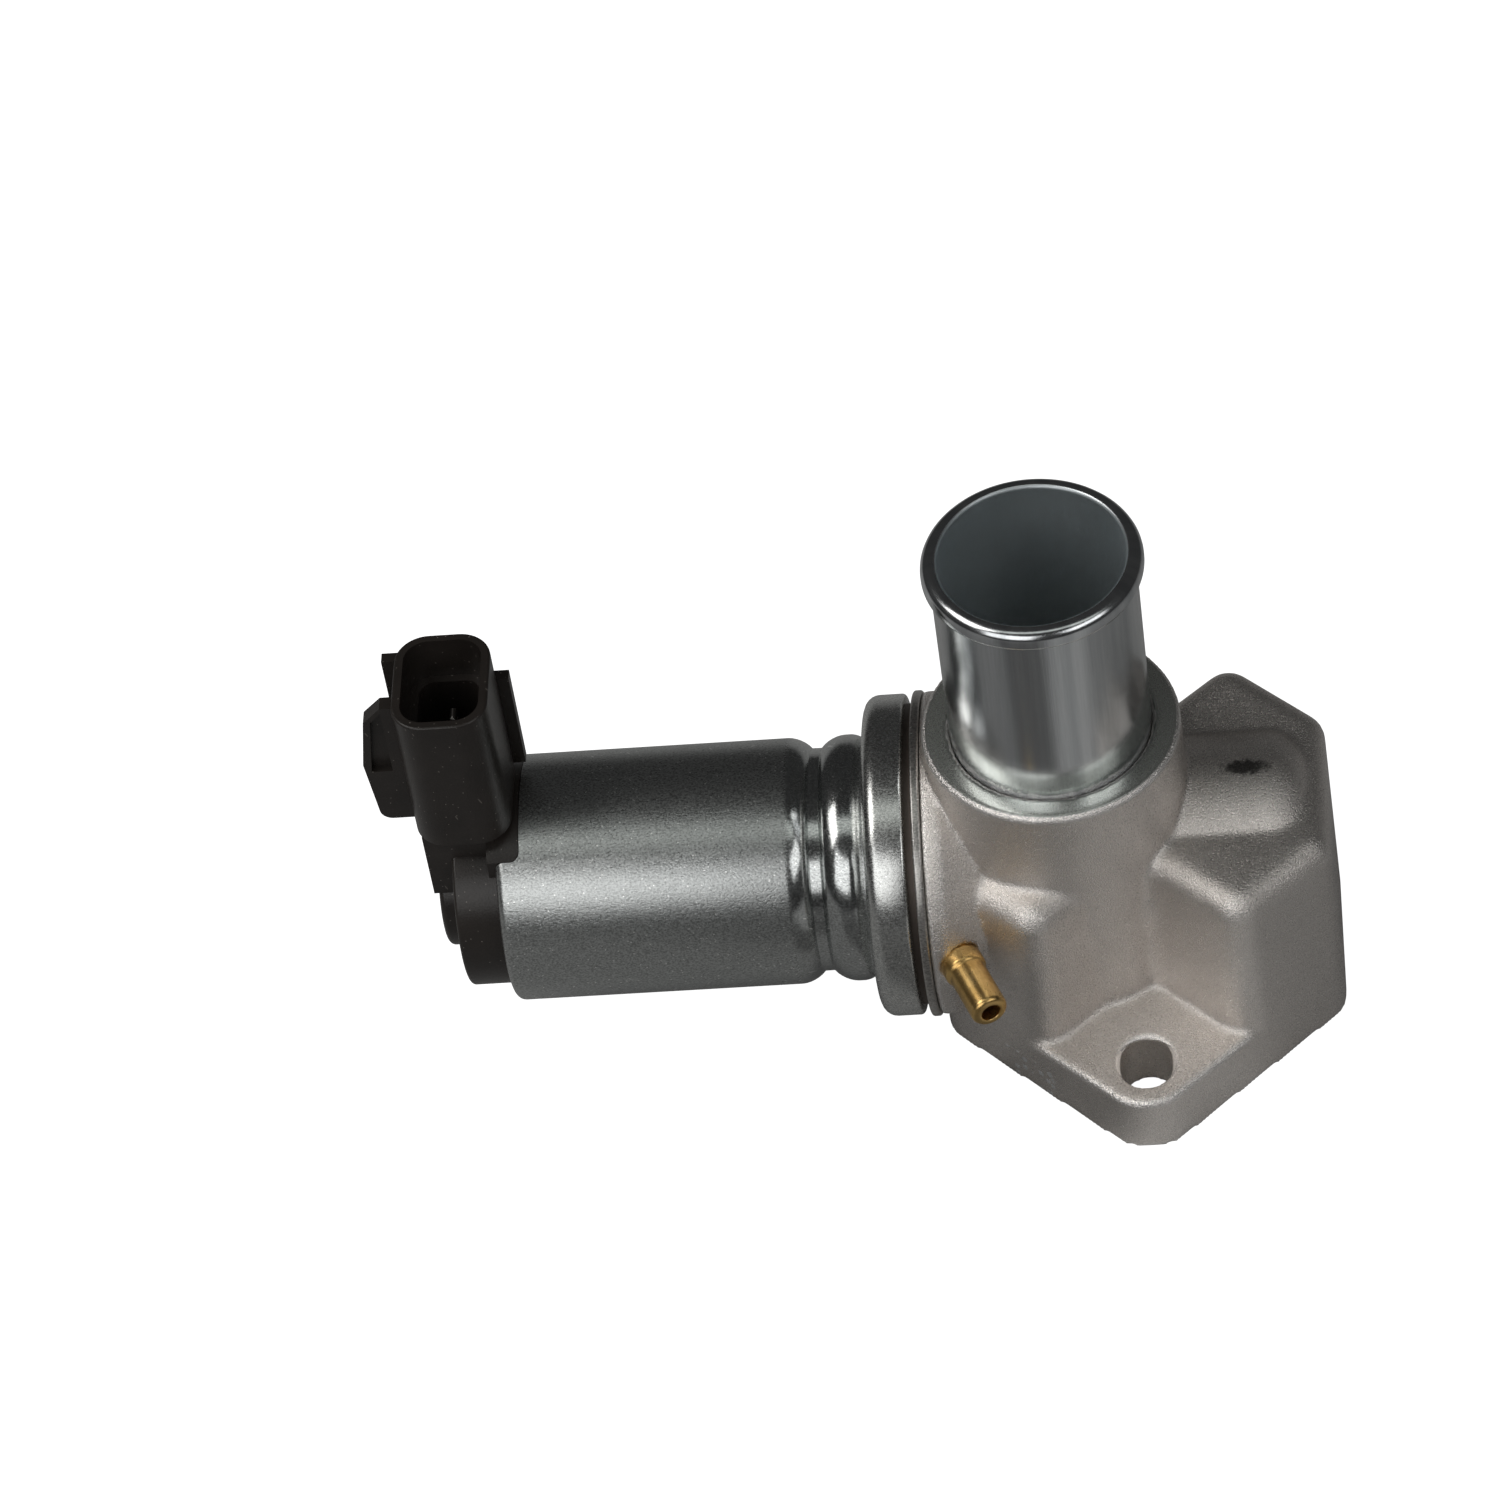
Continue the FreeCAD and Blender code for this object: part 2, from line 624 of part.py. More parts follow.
def rear_washer():
    """Steel washer that closes the magnet circuit at the rear."""
    washer = ring_x(CAN_RADIUS - CAN_WALL, SLEEVE_RADIUS, REAR_WASHER_X, BOBBIN_REAR_X)
    for side in (-1, 1):
        washer = washer.cut(terminal_slot(side, PIN_SLOT_GAP))
    return washer


def coil_bobbin():
    """Moulded bobbin: thin barrel between two flanges, slotted for the two terminals."""
    bobbin = turned([
        (BOBBIN_REAR_X, BOBBIN_BORE, 0),
        (BOBBIN_REAR_X, BOBBIN_RADIUS, 0),
        (BOBBIN_REAR_X + BOBBIN_FLANGE, BOBBIN_RADIUS, 0),
        (BOBBIN_REAR_X + BOBBIN_FLANGE, BOBBIN_BARREL, 0),
        (POLE_BACK_X - BOBBIN_FLANGE, BOBBIN_BARREL, 0),
        (POLE_BACK_X - BOBBIN_FLANGE, BOBBIN_RADIUS, 0),
        (POLE_BACK_X, BOBBIN_RADIUS, 0),
        (POLE_BACK_X, BOBBIN_BORE, 0),
    ])
    for side in (-1, 1):
        bobbin = bobbin.cut(terminal_slot(side, 0))
    return bobbin


def coil_winding():
    """Wound copper between the bobbin's flanges."""
    rear = BOBBIN_REAR_X + BOBBIN_FLANGE
    return ring_x(COIL_RADIUS, BOBBIN_BARREL, rear, POLE_BACK_X - BOBBIN_FLANGE)


def end_seal():
    """Sealing ring between the cap's flange and the rear washer's edge."""
    rear = CAP_SEAT_X + CAP_FLANGE_LENGTH
    return ring_x(CAP_FLANGE_RADIUS, CAP_CORE_RADIUS, rear, REAR_WASHER_X).cut(notch_block(-CONNECTOR_CLEAR))


def terminal_slot(side, gap):
    """Slot for the flat foot of a terminal where it enters the coil."""
    y = side * PIN_SPACING / 2
    half = PIN_WIDTH / 2 + gap
    top = PIN_FOOT_Z + PIN_THICKNESS + gap
    return box(CONNECTOR_X, PIN_FOOT_END_X, y - half, y + half, PIN_FOOT_Z - gap, top)


def terminal(side):
    """L-shaped terminal: a blade up into the shroud and a foot forward to the coil."""
    y = side * PIN_SPACING / 2
    half = PIN_WIDTH / 2
    x0 = CONNECTOR_X - PIN_THICKNESS / 2
    blade = box(x0, x0 + PIN_THICKNESS, y - half, y + half, PIN_FOOT_Z, PIN_TIP)
    tips = [e for e in blade.Edges if abs(e.BoundBox.ZMin - PIN_TIP) < 1e-4 and e.BoundBox.ZLength < 1e-4]
    blade = blade.makeChamfer(PIN_TIP_CHAMFER, tips)
    foot = box(x0, PIN_FOOT_END_X, y - half, y + half, PIN_FOOT_Z, PIN_FOOT_Z + PIN_THICKNESS)
    return blade.fuse(foot).removeSplitter()


def connector_column(shrink, z0, z1):
    """Upright rounded column over the shroud's outline, moved in by shrink."""
    half_x = CONNECTOR_LENGTH / 2 - shrink
    half_y = CONNECTOR_WIDTH / 2 - shrink
    radius = CONNECTOR_ROUND - shrink
    corners = [(CONNECTOR_X + sx * half_x, sy * half_y, radius)
               for sx, sy in ((-1, -1), (1, -1), (1, 1), (-1, 1))]
    wire = rounded_wire(corners, lambda p: Vector(p.x, p.y, z0))
    return Part.Face(wire).extrude(Vector(0, 0, z1 - z0))


def wall_plate(profile, y, width):
    """Upright plate along X from (x, z, radius) points, between y and y + width."""
    wire = rounded_wire(profile, lambda p: Vector(p.x, y, p.y))
    return Part.Face(wire).extrude(Vector(0, width, 0))


def lock_lug():
    """Lock cheek on the shroud's outer wall, with a recess in its near face."""
    wall = CONNECTOR_X - CONNECTOR_LENGTH / 2
    root = wall + SHROUD_WALL
    outer = wall - LUG_REACH
    foot = CONNECTOR_FOOT + LUG_FOOT_RISE
    top = foot + LUG_HEIGHT
    cheek = wall_plate([
        (root, foot, 0),
        (outer + LUG_FRAME, foot, LUG_FOOT_ROUND),
        (outer, (foot + top) / 2, 0),
        (outer + LUG_CORNER / 2, top - LUG_CORNER, 0),
        (outer + LUG_CORNER * 1.5, top, 0),
        (root, top, 0),
    ], LUG_NEAR_Y, LUG_THICKNESS)
    recess_foot = foot + LUG_RECESS_FOOT
    recess_end = outer + LUG_FRAME + LUG_RECESS_WIDTH
    recess = wall_plate([
        (outer + LUG_FRAME, recess_foot, 0),
        (recess_end, recess_foot, 0),
        (recess_end, top - LUG_FRAME, 0),
        (outer + LUG_FRAME + LUG_CORNER / 2, top - LUG_CORNER, 0),
    ], LUG_NEAR_Y - PAST, LUG_RECESS_DEPTH + PAST)
    return cheek.cut(recess)


def latch_tooth():
    """Ramped tooth between the lock cheek and the far guide, which the plug's latch snaps over."""
    wall = CONNECTOR_X - CONNECTOR_LENGTH / 2
    top = CONNECTOR_TOP - LATCH_DROP
    start = LUG_NEAR_Y + LUG_THICKNESS
    return wall_plate([
        (wall + SHROUD_WALL / 2, top - LATCH_HEIGHT, 0),
        (wall - LATCH_REACH, top - LATCH_HEIGHT, 0),
        (wall, top, 0),
        (wall + SHROUD_WALL / 2, top, 0),
    ], start, GUIDE_Y - GUIDE_WIDTH / 2 - start)


def guide_rib(side, reach, drop):
    """Straight guide rib on one end wall of the shroud, near its far corner."""
    wall = CONNECTOR_X + side * CONNECTOR_LENGTH / 2
    low, high = sorted((wall - side * SHROUD_WALL, wall + side * reach))
    y = GUIDE_Y - GUIDE_WIDTH / 2
    return box(low, high, y, y + GUIDE_WIDTH, CONNECTOR_FOOT, CONNECTOR_TOP - drop)


def cap_disc():
    """Round core of the cap with the flange that the can's lip holds."""
    flange_front = CAP_SEAT_X + CAP_FLANGE_LENGTH
    return turned([
        (REAR_WASHER_X, 0, 0),
        (REAR_WASHER_X, CAP_CORE_RADIUS, 0),
        (flange_front, CAP_CORE_RADIUS, 0),
        (flange_front, CAP_FLANGE_RADIUS, 0),
        (CAP_SEAT_X, CAP_FLANGE_RADIUS, 0),
        (CAP_SEAT_X, CAP_RADIUS, 0),
        (CAN_END_X - CAP_LENGTH, CAP_RADIUS, CAP_EDGE_ROUND),
        (CAN_END_X - CAP_LENGTH, 0, 0),
    ])


def end_cap_connector():
    """Moulded cap in the can's end, its round boss, the upright shroud, lock lug and guides."""
    boss = turned([
        (CAN_END_X, 0, 0),
        (CAN_END_X, CAP_BOSS_RADIUS, 0),
        (CAN_END_X - CAP_BOSS_LENGTH, CAP_BOSS_RADIUS, CAP_BOSS_ROUND),
        (CAN_END_X - CAP_BOSS_LENGTH, 0, 0),
    ])
    half = CAP_BLOCK_HALF_WIDTH
    block = box(CAN_END_X - CAP_BLOCK_LENGTH, CAN_END_X, -half, half,
                AXIS_Z + CAP_BLOCK_RISE, CONNECTOR_FOOT)
    column = connector_column(0, CONNECTOR_FOOT, CONNECTOR_TOP)
    column = column.makeFillet(RIM_ROUND, edges_at(column, CONNECTOR_TOP))
    filler_radius = CAN_RADIUS - CAP_FLANGE_GAP
    filler = notch_block(CAP_FLANGE_GAP).common(along_x(filler_radius, CAN_END_X - PAST, REAR_WASHER_X))
    cap = cap_disc().fuse([
        boss, block, column, filler, lock_lug(), latch_tooth(),
        guide_rib(-1, GUIDE_LEFT_REACH, GUIDE_LEFT_DROP),
        guide_rib(1, GUIDE_RIGHT_REACH, GUIDE_RIGHT_DROP),
    ])
    step = CONNECTOR_TOP - SHROUD_STEP_DEPTH
    cap = cap.cut(connector_column(SHROUD_WALL, step, CONNECTOR_TOP + PAST))
    cap = cap.cut(connector_column(SHROUD_WALL + SHROUD_STEP, CONNECTOR_TOP - SHROUD_DEPTH, step + PAST))
    for side in (-1, 1):
        cap = cap.cut(terminal(side))
    return cap.removeSplitter()


def armature():
    """Sliding iron plunger, pressed on the stem, with two air grooves."""
    body = ring_x(ARMATURE_RADIUS, STEM_RADIUS, ARMATURE_REAR_X, ARMATURE_FRONT_X)
    ends = [e for e in body.Edges if abs(e.BoundBox.YLength - 2 * ARMATURE_RADIUS) < 1e-3]
    body = body.makeChamfer(ARMATURE_CHAMFER, ends)
    half = AIR_GROOVE / 2
    for side in (-1, 1):
        y = side * ARMATURE_RADIUS
        groove = box(ARMATURE_REAR_X - PAST, ARMATURE_FRONT_X + PAST, y - half, y + half,
                     AXIS_Z - half, AXIS_Z + half)
        body = body.cut(groove)
    return body


def front_bush():
    """Bronze bush in the front pole plate that guides the stem."""
    return ring_x(BUSH_RADIUS, STEM_RADIUS + BUSH_CLEARANCE, POLE_BACK_X, PILOT_END_X)


def valve_stem():
    """Ground stem with a groove for the clip in front of the valve head."""
    clip_end = POPPET_FACE_X + CLIP_THICKNESS
    groove_radius = STEM_RADIUS - CLIP_GROOVE
    return turned([
        (ARMATURE_REAR_X, 0, 0),
        (ARMATURE_REAR_X, STEM_RADIUS, 0),
        (POPPET_FACE_X, STEM_RADIUS, 0),
        (POPPET_FACE_X, groove_radius, 0),
        (clip_end, groove_radius, 0),
        (clip_end, STEM_RADIUS, 0),
        (clip_end + STEM_TIP - STEM_TIP_CHAMFER, STEM_RADIUS, 0),
        (clip_end + STEM_TIP, STEM_RADIUS - STEM_TIP_CHAMFER, 0),
        (clip_end + STEM_TIP, 0, 0),
    ])


def valve_poppet():
    """Valve head: flat sealing face, thin rim and a cone back to its hub."""
    radius = SEAT_BORE + POPPET_LAP
    hub = STEM_RADIUS + POPPET_HUB_WALL
    return turned([
        (POPPET_FACE_X, STEM_RADIUS, 0),
        (POPPET_FACE_X, radius, 0),
        (POPPET_FACE_X - POPPET_RIM, radius, 0),
        (POPPET_BACK_X + POPPET_HUB_LENGTH, hub, 0),
        (POPPET_BACK_X, hub, 0),
        (POPPET_BACK_X, STEM_RADIUS, 0),
    ])


def stem_clip():
    """Open retaining clip in the stem's groove."""
    x0 = POPPET_FACE_X
    radius = STEM_RADIUS + CLIP_RISE
    clip = ring_x(radius, STEM_RADIUS - CLIP_GROOVE, x0, x0 + CLIP_THICKNESS)
    half = CLIP_MOUTH
    foot = AXIS_Z - radius - PAST
    return clip.cut(box(x0 - PAST, x0 + CLIP_THICKNESS + PAST, -half, half, foot, AXIS_Z - CLIP_GROOVE))


def spring_seat():
    """Flanged washer between the spring and the back of the valve head."""
    x0 = POPPET_BACK_X - SPRING_SEAT_THICKNESS
    hub = SPRING_RADIUS - SPRING_WIRE / 2 - SPRING_SEAT_GAP
    flange = SPRING_RADIUS + SPRING_SEAT_FLANGE
    return turned([
        (x0 - SPRING_SEAT_HUB, STEM_RADIUS, 0),
        (x0 - SPRING_SEAT_HUB, hub, 0),
        (x0, hub, 0),
        (x0, flange, 0),
        (POPPET_BACK_X, flange, 0),
        (POPPET_BACK_X, STEM_RADIUS, 0),
    ])


def return_spring():
    """Coil spring from the pilot's end face to the spring seat, its round wire as a fine polygon."""
    start = PILOT_END_X + SPRING_WIRE / 2
    end = POPPET_BACK_X - SPRING_SEAT_THICKNESS - SPRING_WIRE / 2
    length = end - start
    pitch = length / SPRING_TURNS
    tilt = math.atan2(pitch, 2 * math.pi * SPRING_RADIUS)
    path = Part.makeHelix(pitch, length, SPRING_RADIUS)
    outwards = Vector(1, 0, 0)
    across = Vector(0, -math.sin(tilt), math.cos(tilt))
    points = []
    for i in range(SPRING_SIDES + 1):
        turn = 2 * math.pi * (i + 0.5) / SPRING_SIDES
        offset = outwards * math.cos(turn) + across * math.sin(turn)
        points.append(Vector(SPRING_RADIUS, 0, 0) + offset * SPRING_WIRE / 2)
    coil = Part.Wire(path.Edges).makePipeShell([Part.makePolygon(points)], True, True)
    coil.rotate(Vector(0, 0, 0), Vector(0, 1, 0), 90)
    coil.translate(Vector(start, 0, AXIS_Z))
    return coil


def main():
    """Build every piece and write one STEP file each."""
    parts = {
        "body_casting": casting(),
        "hose_tube": hose_tube(),
        "vacuum_nipple": vacuum_nipple(),
        "valve_seat": valve_seat(),
        "clamp_plate": clamp_plate(),
        "face_gasket": face_gasket(),
        "crimp_ring": crimp_ring(),
        "pole_plate": pole_plate(),
        "pilot_seal": pilot_seal(),
        "front_bush": front_bush(),
        "solenoid_can": solenoid_can(),
        "guide_sleeve": guide_sleeve(),
        "rear_pole": rear_pole(),
        "rear_washer": rear_washer(),
        "coil_bobbin": coil_bobbin(),
        "coil_winding": coil_winding(),
        "end_seal": end_seal(),
        "end_cap_connector": end_cap_connector(),
        "terminal_pin_near": terminal(-1),
        "terminal_pin_far": terminal(1),
        "armature": armature(),
        "valve_stem": valve_stem(),
        "valve_poppet": valve_poppet(),
        "spring_seat": spring_seat(),
        "stem_clip": stem_clip(),
        "return_spring": return_spring(),
    }
    os.makedirs("parts", exist_ok=True)
    for name, shape in parts.items():
        shape.exportStep("parts/" + name + ".step")
        print(name, shape.ShapeType, len(shape.Solids), shape.isValid(), round(shape.Volume, 1))


main()
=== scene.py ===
# %% [markdown]
# # Idle air control valve
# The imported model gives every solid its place. This scene dresses it: the cast body gets its
# soft die-cast edges, the plated and brass turnings get smooth spun surfaces, and each surface
# gets a procedural finish that follows the real one.

# %% Load the frame
import bpy
import bmesh
import math
from mathutils import Matrix, Vector


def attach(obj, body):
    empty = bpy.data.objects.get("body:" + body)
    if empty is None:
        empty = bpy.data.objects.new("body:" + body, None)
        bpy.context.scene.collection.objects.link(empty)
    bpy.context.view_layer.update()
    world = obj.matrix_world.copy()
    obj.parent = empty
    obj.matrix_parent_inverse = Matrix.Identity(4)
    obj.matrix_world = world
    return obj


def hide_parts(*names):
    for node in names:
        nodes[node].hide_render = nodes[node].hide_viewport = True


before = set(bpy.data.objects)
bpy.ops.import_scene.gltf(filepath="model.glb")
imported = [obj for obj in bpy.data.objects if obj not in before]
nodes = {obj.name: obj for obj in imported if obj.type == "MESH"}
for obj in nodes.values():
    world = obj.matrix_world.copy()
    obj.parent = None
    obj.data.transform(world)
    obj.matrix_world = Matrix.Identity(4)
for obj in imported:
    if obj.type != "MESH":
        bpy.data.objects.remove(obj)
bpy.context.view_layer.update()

# %% [markdown]
# ## Camera
# The photograph was taken from in front and well above, from far enough away that the
# perspective is mild. The camera stands on a line through the part's origin, is turned a little
# about its own axis, and is shifted sideways so that the whole valve fills the frame.

# %% Camera
VIEW_AZIMUTH = math.radians(8.267)
VIEW_ELEVATION = math.radians(47.513)
VIEW_ROLL = math.radians(-9.612)
VIEW_DISTANCE = 0.82036
FOCAL_PIXELS = 6296.857
FRAME_PIXELS = 1500
SENSOR_WIDTH = 36
ORIGIN_RIGHT = 396.307
ORIGIN_DOWN = 201.335


def place_camera():
    """Camera whose picture has the valve where the photograph has it."""
    back = Vector((math.cos(VIEW_ELEVATION) * math.sin(VIEW_AZIMUTH),
                   -math.cos(VIEW_ELEVATION) * math.cos(VIEW_AZIMUTH), math.sin(VIEW_ELEVATION)))
    level_right = (-back).cross(Vector((0, 0, 1))).normalized()
    level_up = level_right.cross(-back)
    right = math.cos(VIEW_ROLL) * level_right + math.sin(VIEW_ROLL) * level_up
    up = -math.sin(VIEW_ROLL) * level_right + math.cos(VIEW_ROLL) * level_up
    metres_per_pixel = VIEW_DISTANCE / FOCAL_PIXELS
    beside = right * ORIGIN_RIGHT * metres_per_pixel
    above = up * ORIGIN_DOWN * metres_per_pixel
    spot = back * VIEW_DISTANCE - beside + above
    data = bpy.data.cameras.new("camera")
    data.sensor_width = SENSOR_WIDTH
    data.lens = FOCAL_PIXELS / FRAME_PIXELS * SENSOR_WIDTH
    data.clip_start = 0.05
    camera = bpy.data.objects.new("camera", data)
    bpy.context.scene.collection.objects.link(camera)
    turn = Matrix((right, up, back)).transposed().to_4x4()
    camera.matrix_world = Matrix.Translation(spot) @ turn
    bpy.context.scene.camera = camera
    print("camera at", tuple(round(v, 4) for v in spot), "lens", round(data.lens, 1))


place_camera()

# %% [markdown]
# ## Working sizes
# Profiles are written in millimetres because that is how such parts are drawn, and turned into
# metres where the points are made. These are the sizes and places that several pieces share.

# %% Shared sizes, in millimetres
UNIT = 0.001
AXIS_Z = 22.0
TUBE_X = -9.0
TUBE_RADIUS = 12.7


def loose_object(name, bm):
    """Object in the scene that holds a bmesh's shape."""
    mesh = bpy.data.meshes.new(name)
    bm.to_mesh(mesh)
    bm.free()
    piece = bpy.data.objects.new(name, mesh)
    bpy.context.scene.collection.objects.link(piece)
    return piece


def modified_mesh(piece):
    """Plain mesh of an object as its modifiers leave it."""
    bpy.context.view_layer.update()
    shown = piece.evaluated_get(bpy.context.evaluated_depsgraph_get())
    return bpy.data.meshes.new_from_object(shown)


def finish_piece(name, bm, body, material, covers, smooth_angle=35):
    """Mesh object from a bmesh: shaded smooth up to an angle, riding on a body."""
    piece = loose_object(name, bm)
    mesh = piece.data
    mesh.materials.append(material)
    mesh.shade_smooth()
    mesh.set_sharp_from_angle(angle=math.radians(smooth_angle))
    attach(piece, body)
    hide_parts(*covers)
    print(name, len(mesh.polygons), "faces")
    return piece


# %% [markdown]
# ## Turned shapes
# The tube, the can, the rings and the nipple are all round, so one half outline spun about an
# axis makes each. The outline is a chain of points; a vertex bevel rounds the corners that are
# rounded on the real piece, before the spin, so that each rounding is a smooth band.

# %% Spun pieces
def outline(bm, corners, place):
    """Closed chain of edges through (along, radius, rounding) corners, rounded where asked."""
    ring = [bm.verts.new(place(along, radius)) for along, radius, _ in corners]
    for first, second in zip(ring, ring[1:] + ring[:1]):
        bm.edges.new((first, second))
    by_rounding = {}
    for vert, (_, _, rounding) in zip(ring, corners):
        by_rounding.setdefault(rounding, []).append(vert)
    for rounding, verts in by_rounding.items():
        if rounding > 0:
            bmesh.ops.bevel(bm, geom=verts, offset=rounding * UNIT, offset_type="OFFSET", segments=6,
                            profile=0.5, affect="VERTICES", material=-1)


def spun(corners, centre, axis, side, steps=180):
    """Bmesh of an outline spun a full turn; side is the direction the radius is measured in."""
    bm = bmesh.new()
    outline(bm, corners, lambda along, radius: centre + axis * along * UNIT + side * radius * UNIT)
    bmesh.ops.spin(bm, geom=bm.verts[:] + bm.edges[:], cent=centre, axis=axis, angle=2 * math.pi,
                   steps=steps, use_merge=True)
    bmesh.ops.remove_doubles(bm, verts=bm.verts[:], dist=1e-7)
    bmesh.ops.recalc_face_normals(bm, faces=bm.faces[:])
    return bm


X = Vector((1, 0, 0))
Y = Vector((0, 1, 0))
Z = Vector((0, 0, 1))
COIL_AXIS = Vector((0, 0, AXIS_Z * UNIT))
TUBE_AXIS = Vector((TUBE_X * UNIT, 0, 0))

# %% [markdown]
# ## Building blocks of the finishes
# Several finishes share the same effects: a fine grain, slow cloudy variation and small specks.
# One node group gives all three, and its named inputs let every material set its own scale.

# %% Node helpers
def new_group(name, inputs, outputs):
    """Empty shader node group; inputs are (name, kind, default) and outputs (name, kind)."""
    group = bpy.data.node_groups.new(name, "ShaderNodeTree")
    for socket_name, kind, default in inputs:
        socket = group.interface.new_socket(socket_name, in_out="INPUT", socket_type=kind)
        if default is not None:
            socket.default_value = default
    for socket_name, kind in outputs:
        group.interface.new_socket(socket_name, in_out="OUTPUT", socket_type=kind)
    start = group.nodes.new("NodeGroupInput")
    end = group.nodes.new("NodeGroupOutput")
    return group, start, end


def add_node(tree, kind, **values):
    """New node; attributes are set by name, and sockets by name with a leading capital."""
    node = tree.nodes.new(kind)
    for key, value in values.items():
        if key in node.inputs:
            node.inputs[key].default_value = value
        else:
            setattr(node, key, value)
    return node


def feed(tree, socket, value):
    """Gives a socket a number, a colour or another node's output."""
    if isinstance(value, (int, float)):
        socket.default_value = value
    elif isinstance(value, tuple):
        socket.default_value = (*value, 1)
    else:
        tree.links.new(value, socket)


def math_node(tree, operation, *values):
    """Math node whose inputs are numbers or sockets."""
    node = tree.nodes.new("ShaderNodeMath")
    node.operation = operation
    for index, value in enumerate(values):
        feed(tree, node.inputs[index], value)
    return node.outputs[0]


def ramp(tree, factor, stops):
    """Colour ramp over a factor socket; stops are (position, colour)."""
    node = tree.nodes.new("ShaderNodeValToRGB")
    elements = node.color_ramp.elements
    for index, (position, colour) in enumerate(stops):
        element = elements[index] if index < 2 else elements.new(position)
        element.position = position
        element.color = (*colour, 1)
    tree.links.new(factor, node.inputs[0])
    return node.outputs[0]


def mix_colour(tree, factor, first, second):
    """Mix of two colours, each a socket or a colour."""
    node = tree.nodes.new("ShaderNodeMix")
    node.data_type = "RGBA"
    feed(tree, node.inputs["Factor"], factor)
    feed(tree, node.inputs[6], first)
    feed(tree, node.inputs[7], second)
    return node.outputs[2]


def scaled(colour, factor):
    """The same colour, darker or lighter."""
    return tuple(factor * part for part in colour)


def split_place(tree, coordinates):
    """The X, Y and Z of a place, as sockets by name."""
    split = tree.nodes.new("ShaderNodeSeparateXYZ")
    tree.links.new(coordinates, split.inputs[0])
    return split.outputs


# %% [markdown]
# ### Grain
# Blasted castings, dull plating and moulded plastic all sparkle from tiny bumps. A fine noise
# gives the bumps, and a slow noise gives the cloudy change of tone from place to place. Sparse
# specks stand for dust.

# %% Grain group
SPECK_SPREAD = 0.22
SPECK_SIZE = 0.09

grain_group, grain_in, grain_out = new_group(
    "grain",
    [("Vector", "NodeSocketVector", None), ("Grain size", "NodeSocketFloat", 0.0003),
     ("Cloud size", "NodeSocketFloat", 0.01)],
    [("Grain", "NodeSocketFloat"), ("Cloud", "NodeSocketFloat"), ("Speck", "NodeSocketFloat")])


def fill_grain_group(tree):
    """Noise at grain size and at cloud size, and a sparse speck mask."""
    fine_scale = math_node(tree, "DIVIDE", 1.0, grain_in.outputs["Grain size"])
    slow_scale = math_node(tree, "DIVIDE", 1.0, grain_in.outputs["Cloud size"])
    fine = add_node(tree, "ShaderNodeTexNoise", Detail=2.0, Roughness=0.6)
    slow = add_node(tree, "ShaderNodeTexNoise", Detail=3.0, Roughness=0.55)
    speck = add_node(tree, "ShaderNodeTexVoronoi", feature="F1")
    speck_scale = math_node(tree, "MULTIPLY", fine_scale, SPECK_SPREAD)
    for node, scale in ((fine, fine_scale), (slow, slow_scale), (speck, speck_scale)):
        tree.links.new(grain_in.outputs["Vector"], node.inputs["Vector"])
        tree.links.new(scale, node.inputs["Scale"])
    mask = math_node(tree, "LESS_THAN", speck.outputs["Distance"], SPECK_SIZE)
    tree.links.new(fine.outputs["Fac"], grain_out.inputs["Grain"])
    tree.links.new(slow.outputs["Fac"], grain_out.inputs["Cloud"])
    tree.links.new(mask, grain_out.inputs["Speck"])


fill_grain_group(grain_group)
print("node groups", [group.name for group in bpy.data.node_groups])


def new_finish(name):
    """Material with its shader, and the object coordinates that every pattern reads."""
    material = bpy.data.materials.new(name)
    material.use_nodes = True
    tree = material.node_tree
    shader = tree.nodes["Principled BSDF"]
    coordinates = tree.nodes.new("ShaderNodeTexCoord").outputs["Object"]
    return material, tree, shader, coordinates


def add_grain(tree, coordinates, grain_size, cloud_size, stretch=(1, 1, 1)):
    """Grain group placed in a material, its pattern stretched if asked."""
    mapping = add_node(tree, "ShaderNodeMapping", Scale=stretch)
    tree.links.new(coordinates, mapping.inputs["Vector"])
    node = tree.nodes.new("ShaderNodeGroup")
    node.node_tree = grain_group
    tree.links.new(mapping.outputs[0], node.inputs["Vector"])
    node.inputs["Grain size"].default_value = grain_size
    node.inputs["Cloud size"].default_value = cloud_size
    return node


def add_bump(tree, shader, height, depth):
    """Bump node from a height socket; depth in metres."""
    bump = add_node(tree, "ShaderNodeBump", Strength=1.0, Distance=depth)
    tree.links.new(height, bump.inputs["Height"])
    tree.links.new(bump.outputs["Normal"], shader.inputs["Normal"])


# %% [markdown]
# ## Cast body
# The body is a blasted aluminium die casting. Its ribs, notches and boss run into each other
# with small soft fillets, which plain solids don't have. A voxel remesh of a merged copy turns
# the solid into an even net, and two rounds of vertex smoothing then soften every inner and
# outer edge. Each vertex keeps how much it stands out from its neighbours, and the outer edges
# get a painted highlight from it: a lighter colour where rounded edges catch the lamps.
#
# The ring round the tube and the walls of the bolt slots are machined, so they are smoother than
# the blasted skin. A thin dark line is the joint between tube and casting. A dark oval along the
# top of the hump is painted shade, and the low left side of the flange has a few bright nicks.

# %% Cast aluminium finish
BOSS_TOP = 45.5
RING_INNER, RING_OUTER = 12.0, 15.8
JOINT_INNER, JOINT_OUTER = 12.9, 13.2
BOLT_SPOT_Y = 25.4
SLOT_REACH = 3.9
# Painted shade on the hump: where its dark oval lies, how it is stretched and how far it reaches.
HUMP_SHADE_SPOT = (14.8, -0.3, 35.2)
HUMP_SHADE_STRETCH = (0.45, 1.0, 1.0)
HUMP_SHADE_REACH = 2.0
CAST_DARK, CAST_LIGHT = (0.70, 0.645, 0.605), (0.80, 0.745, 0.705)
CAST_SPECKLE = (0.95, 0.92, 0.88)
# Lighter colour painted on the outer edges as a highlight.
PAINTED_EDGE_HIGHLIGHT = (1.0, 0.97, 0.94)
MACHINED_GREY = (0.68, 0.71, 0.66)
JOINT_DARK = (0.12, 0.13, 0.12)
# Colour of the painted shade on the hump.
HUMP_SHADE_DARK = (0.06, 0.057, 0.055)
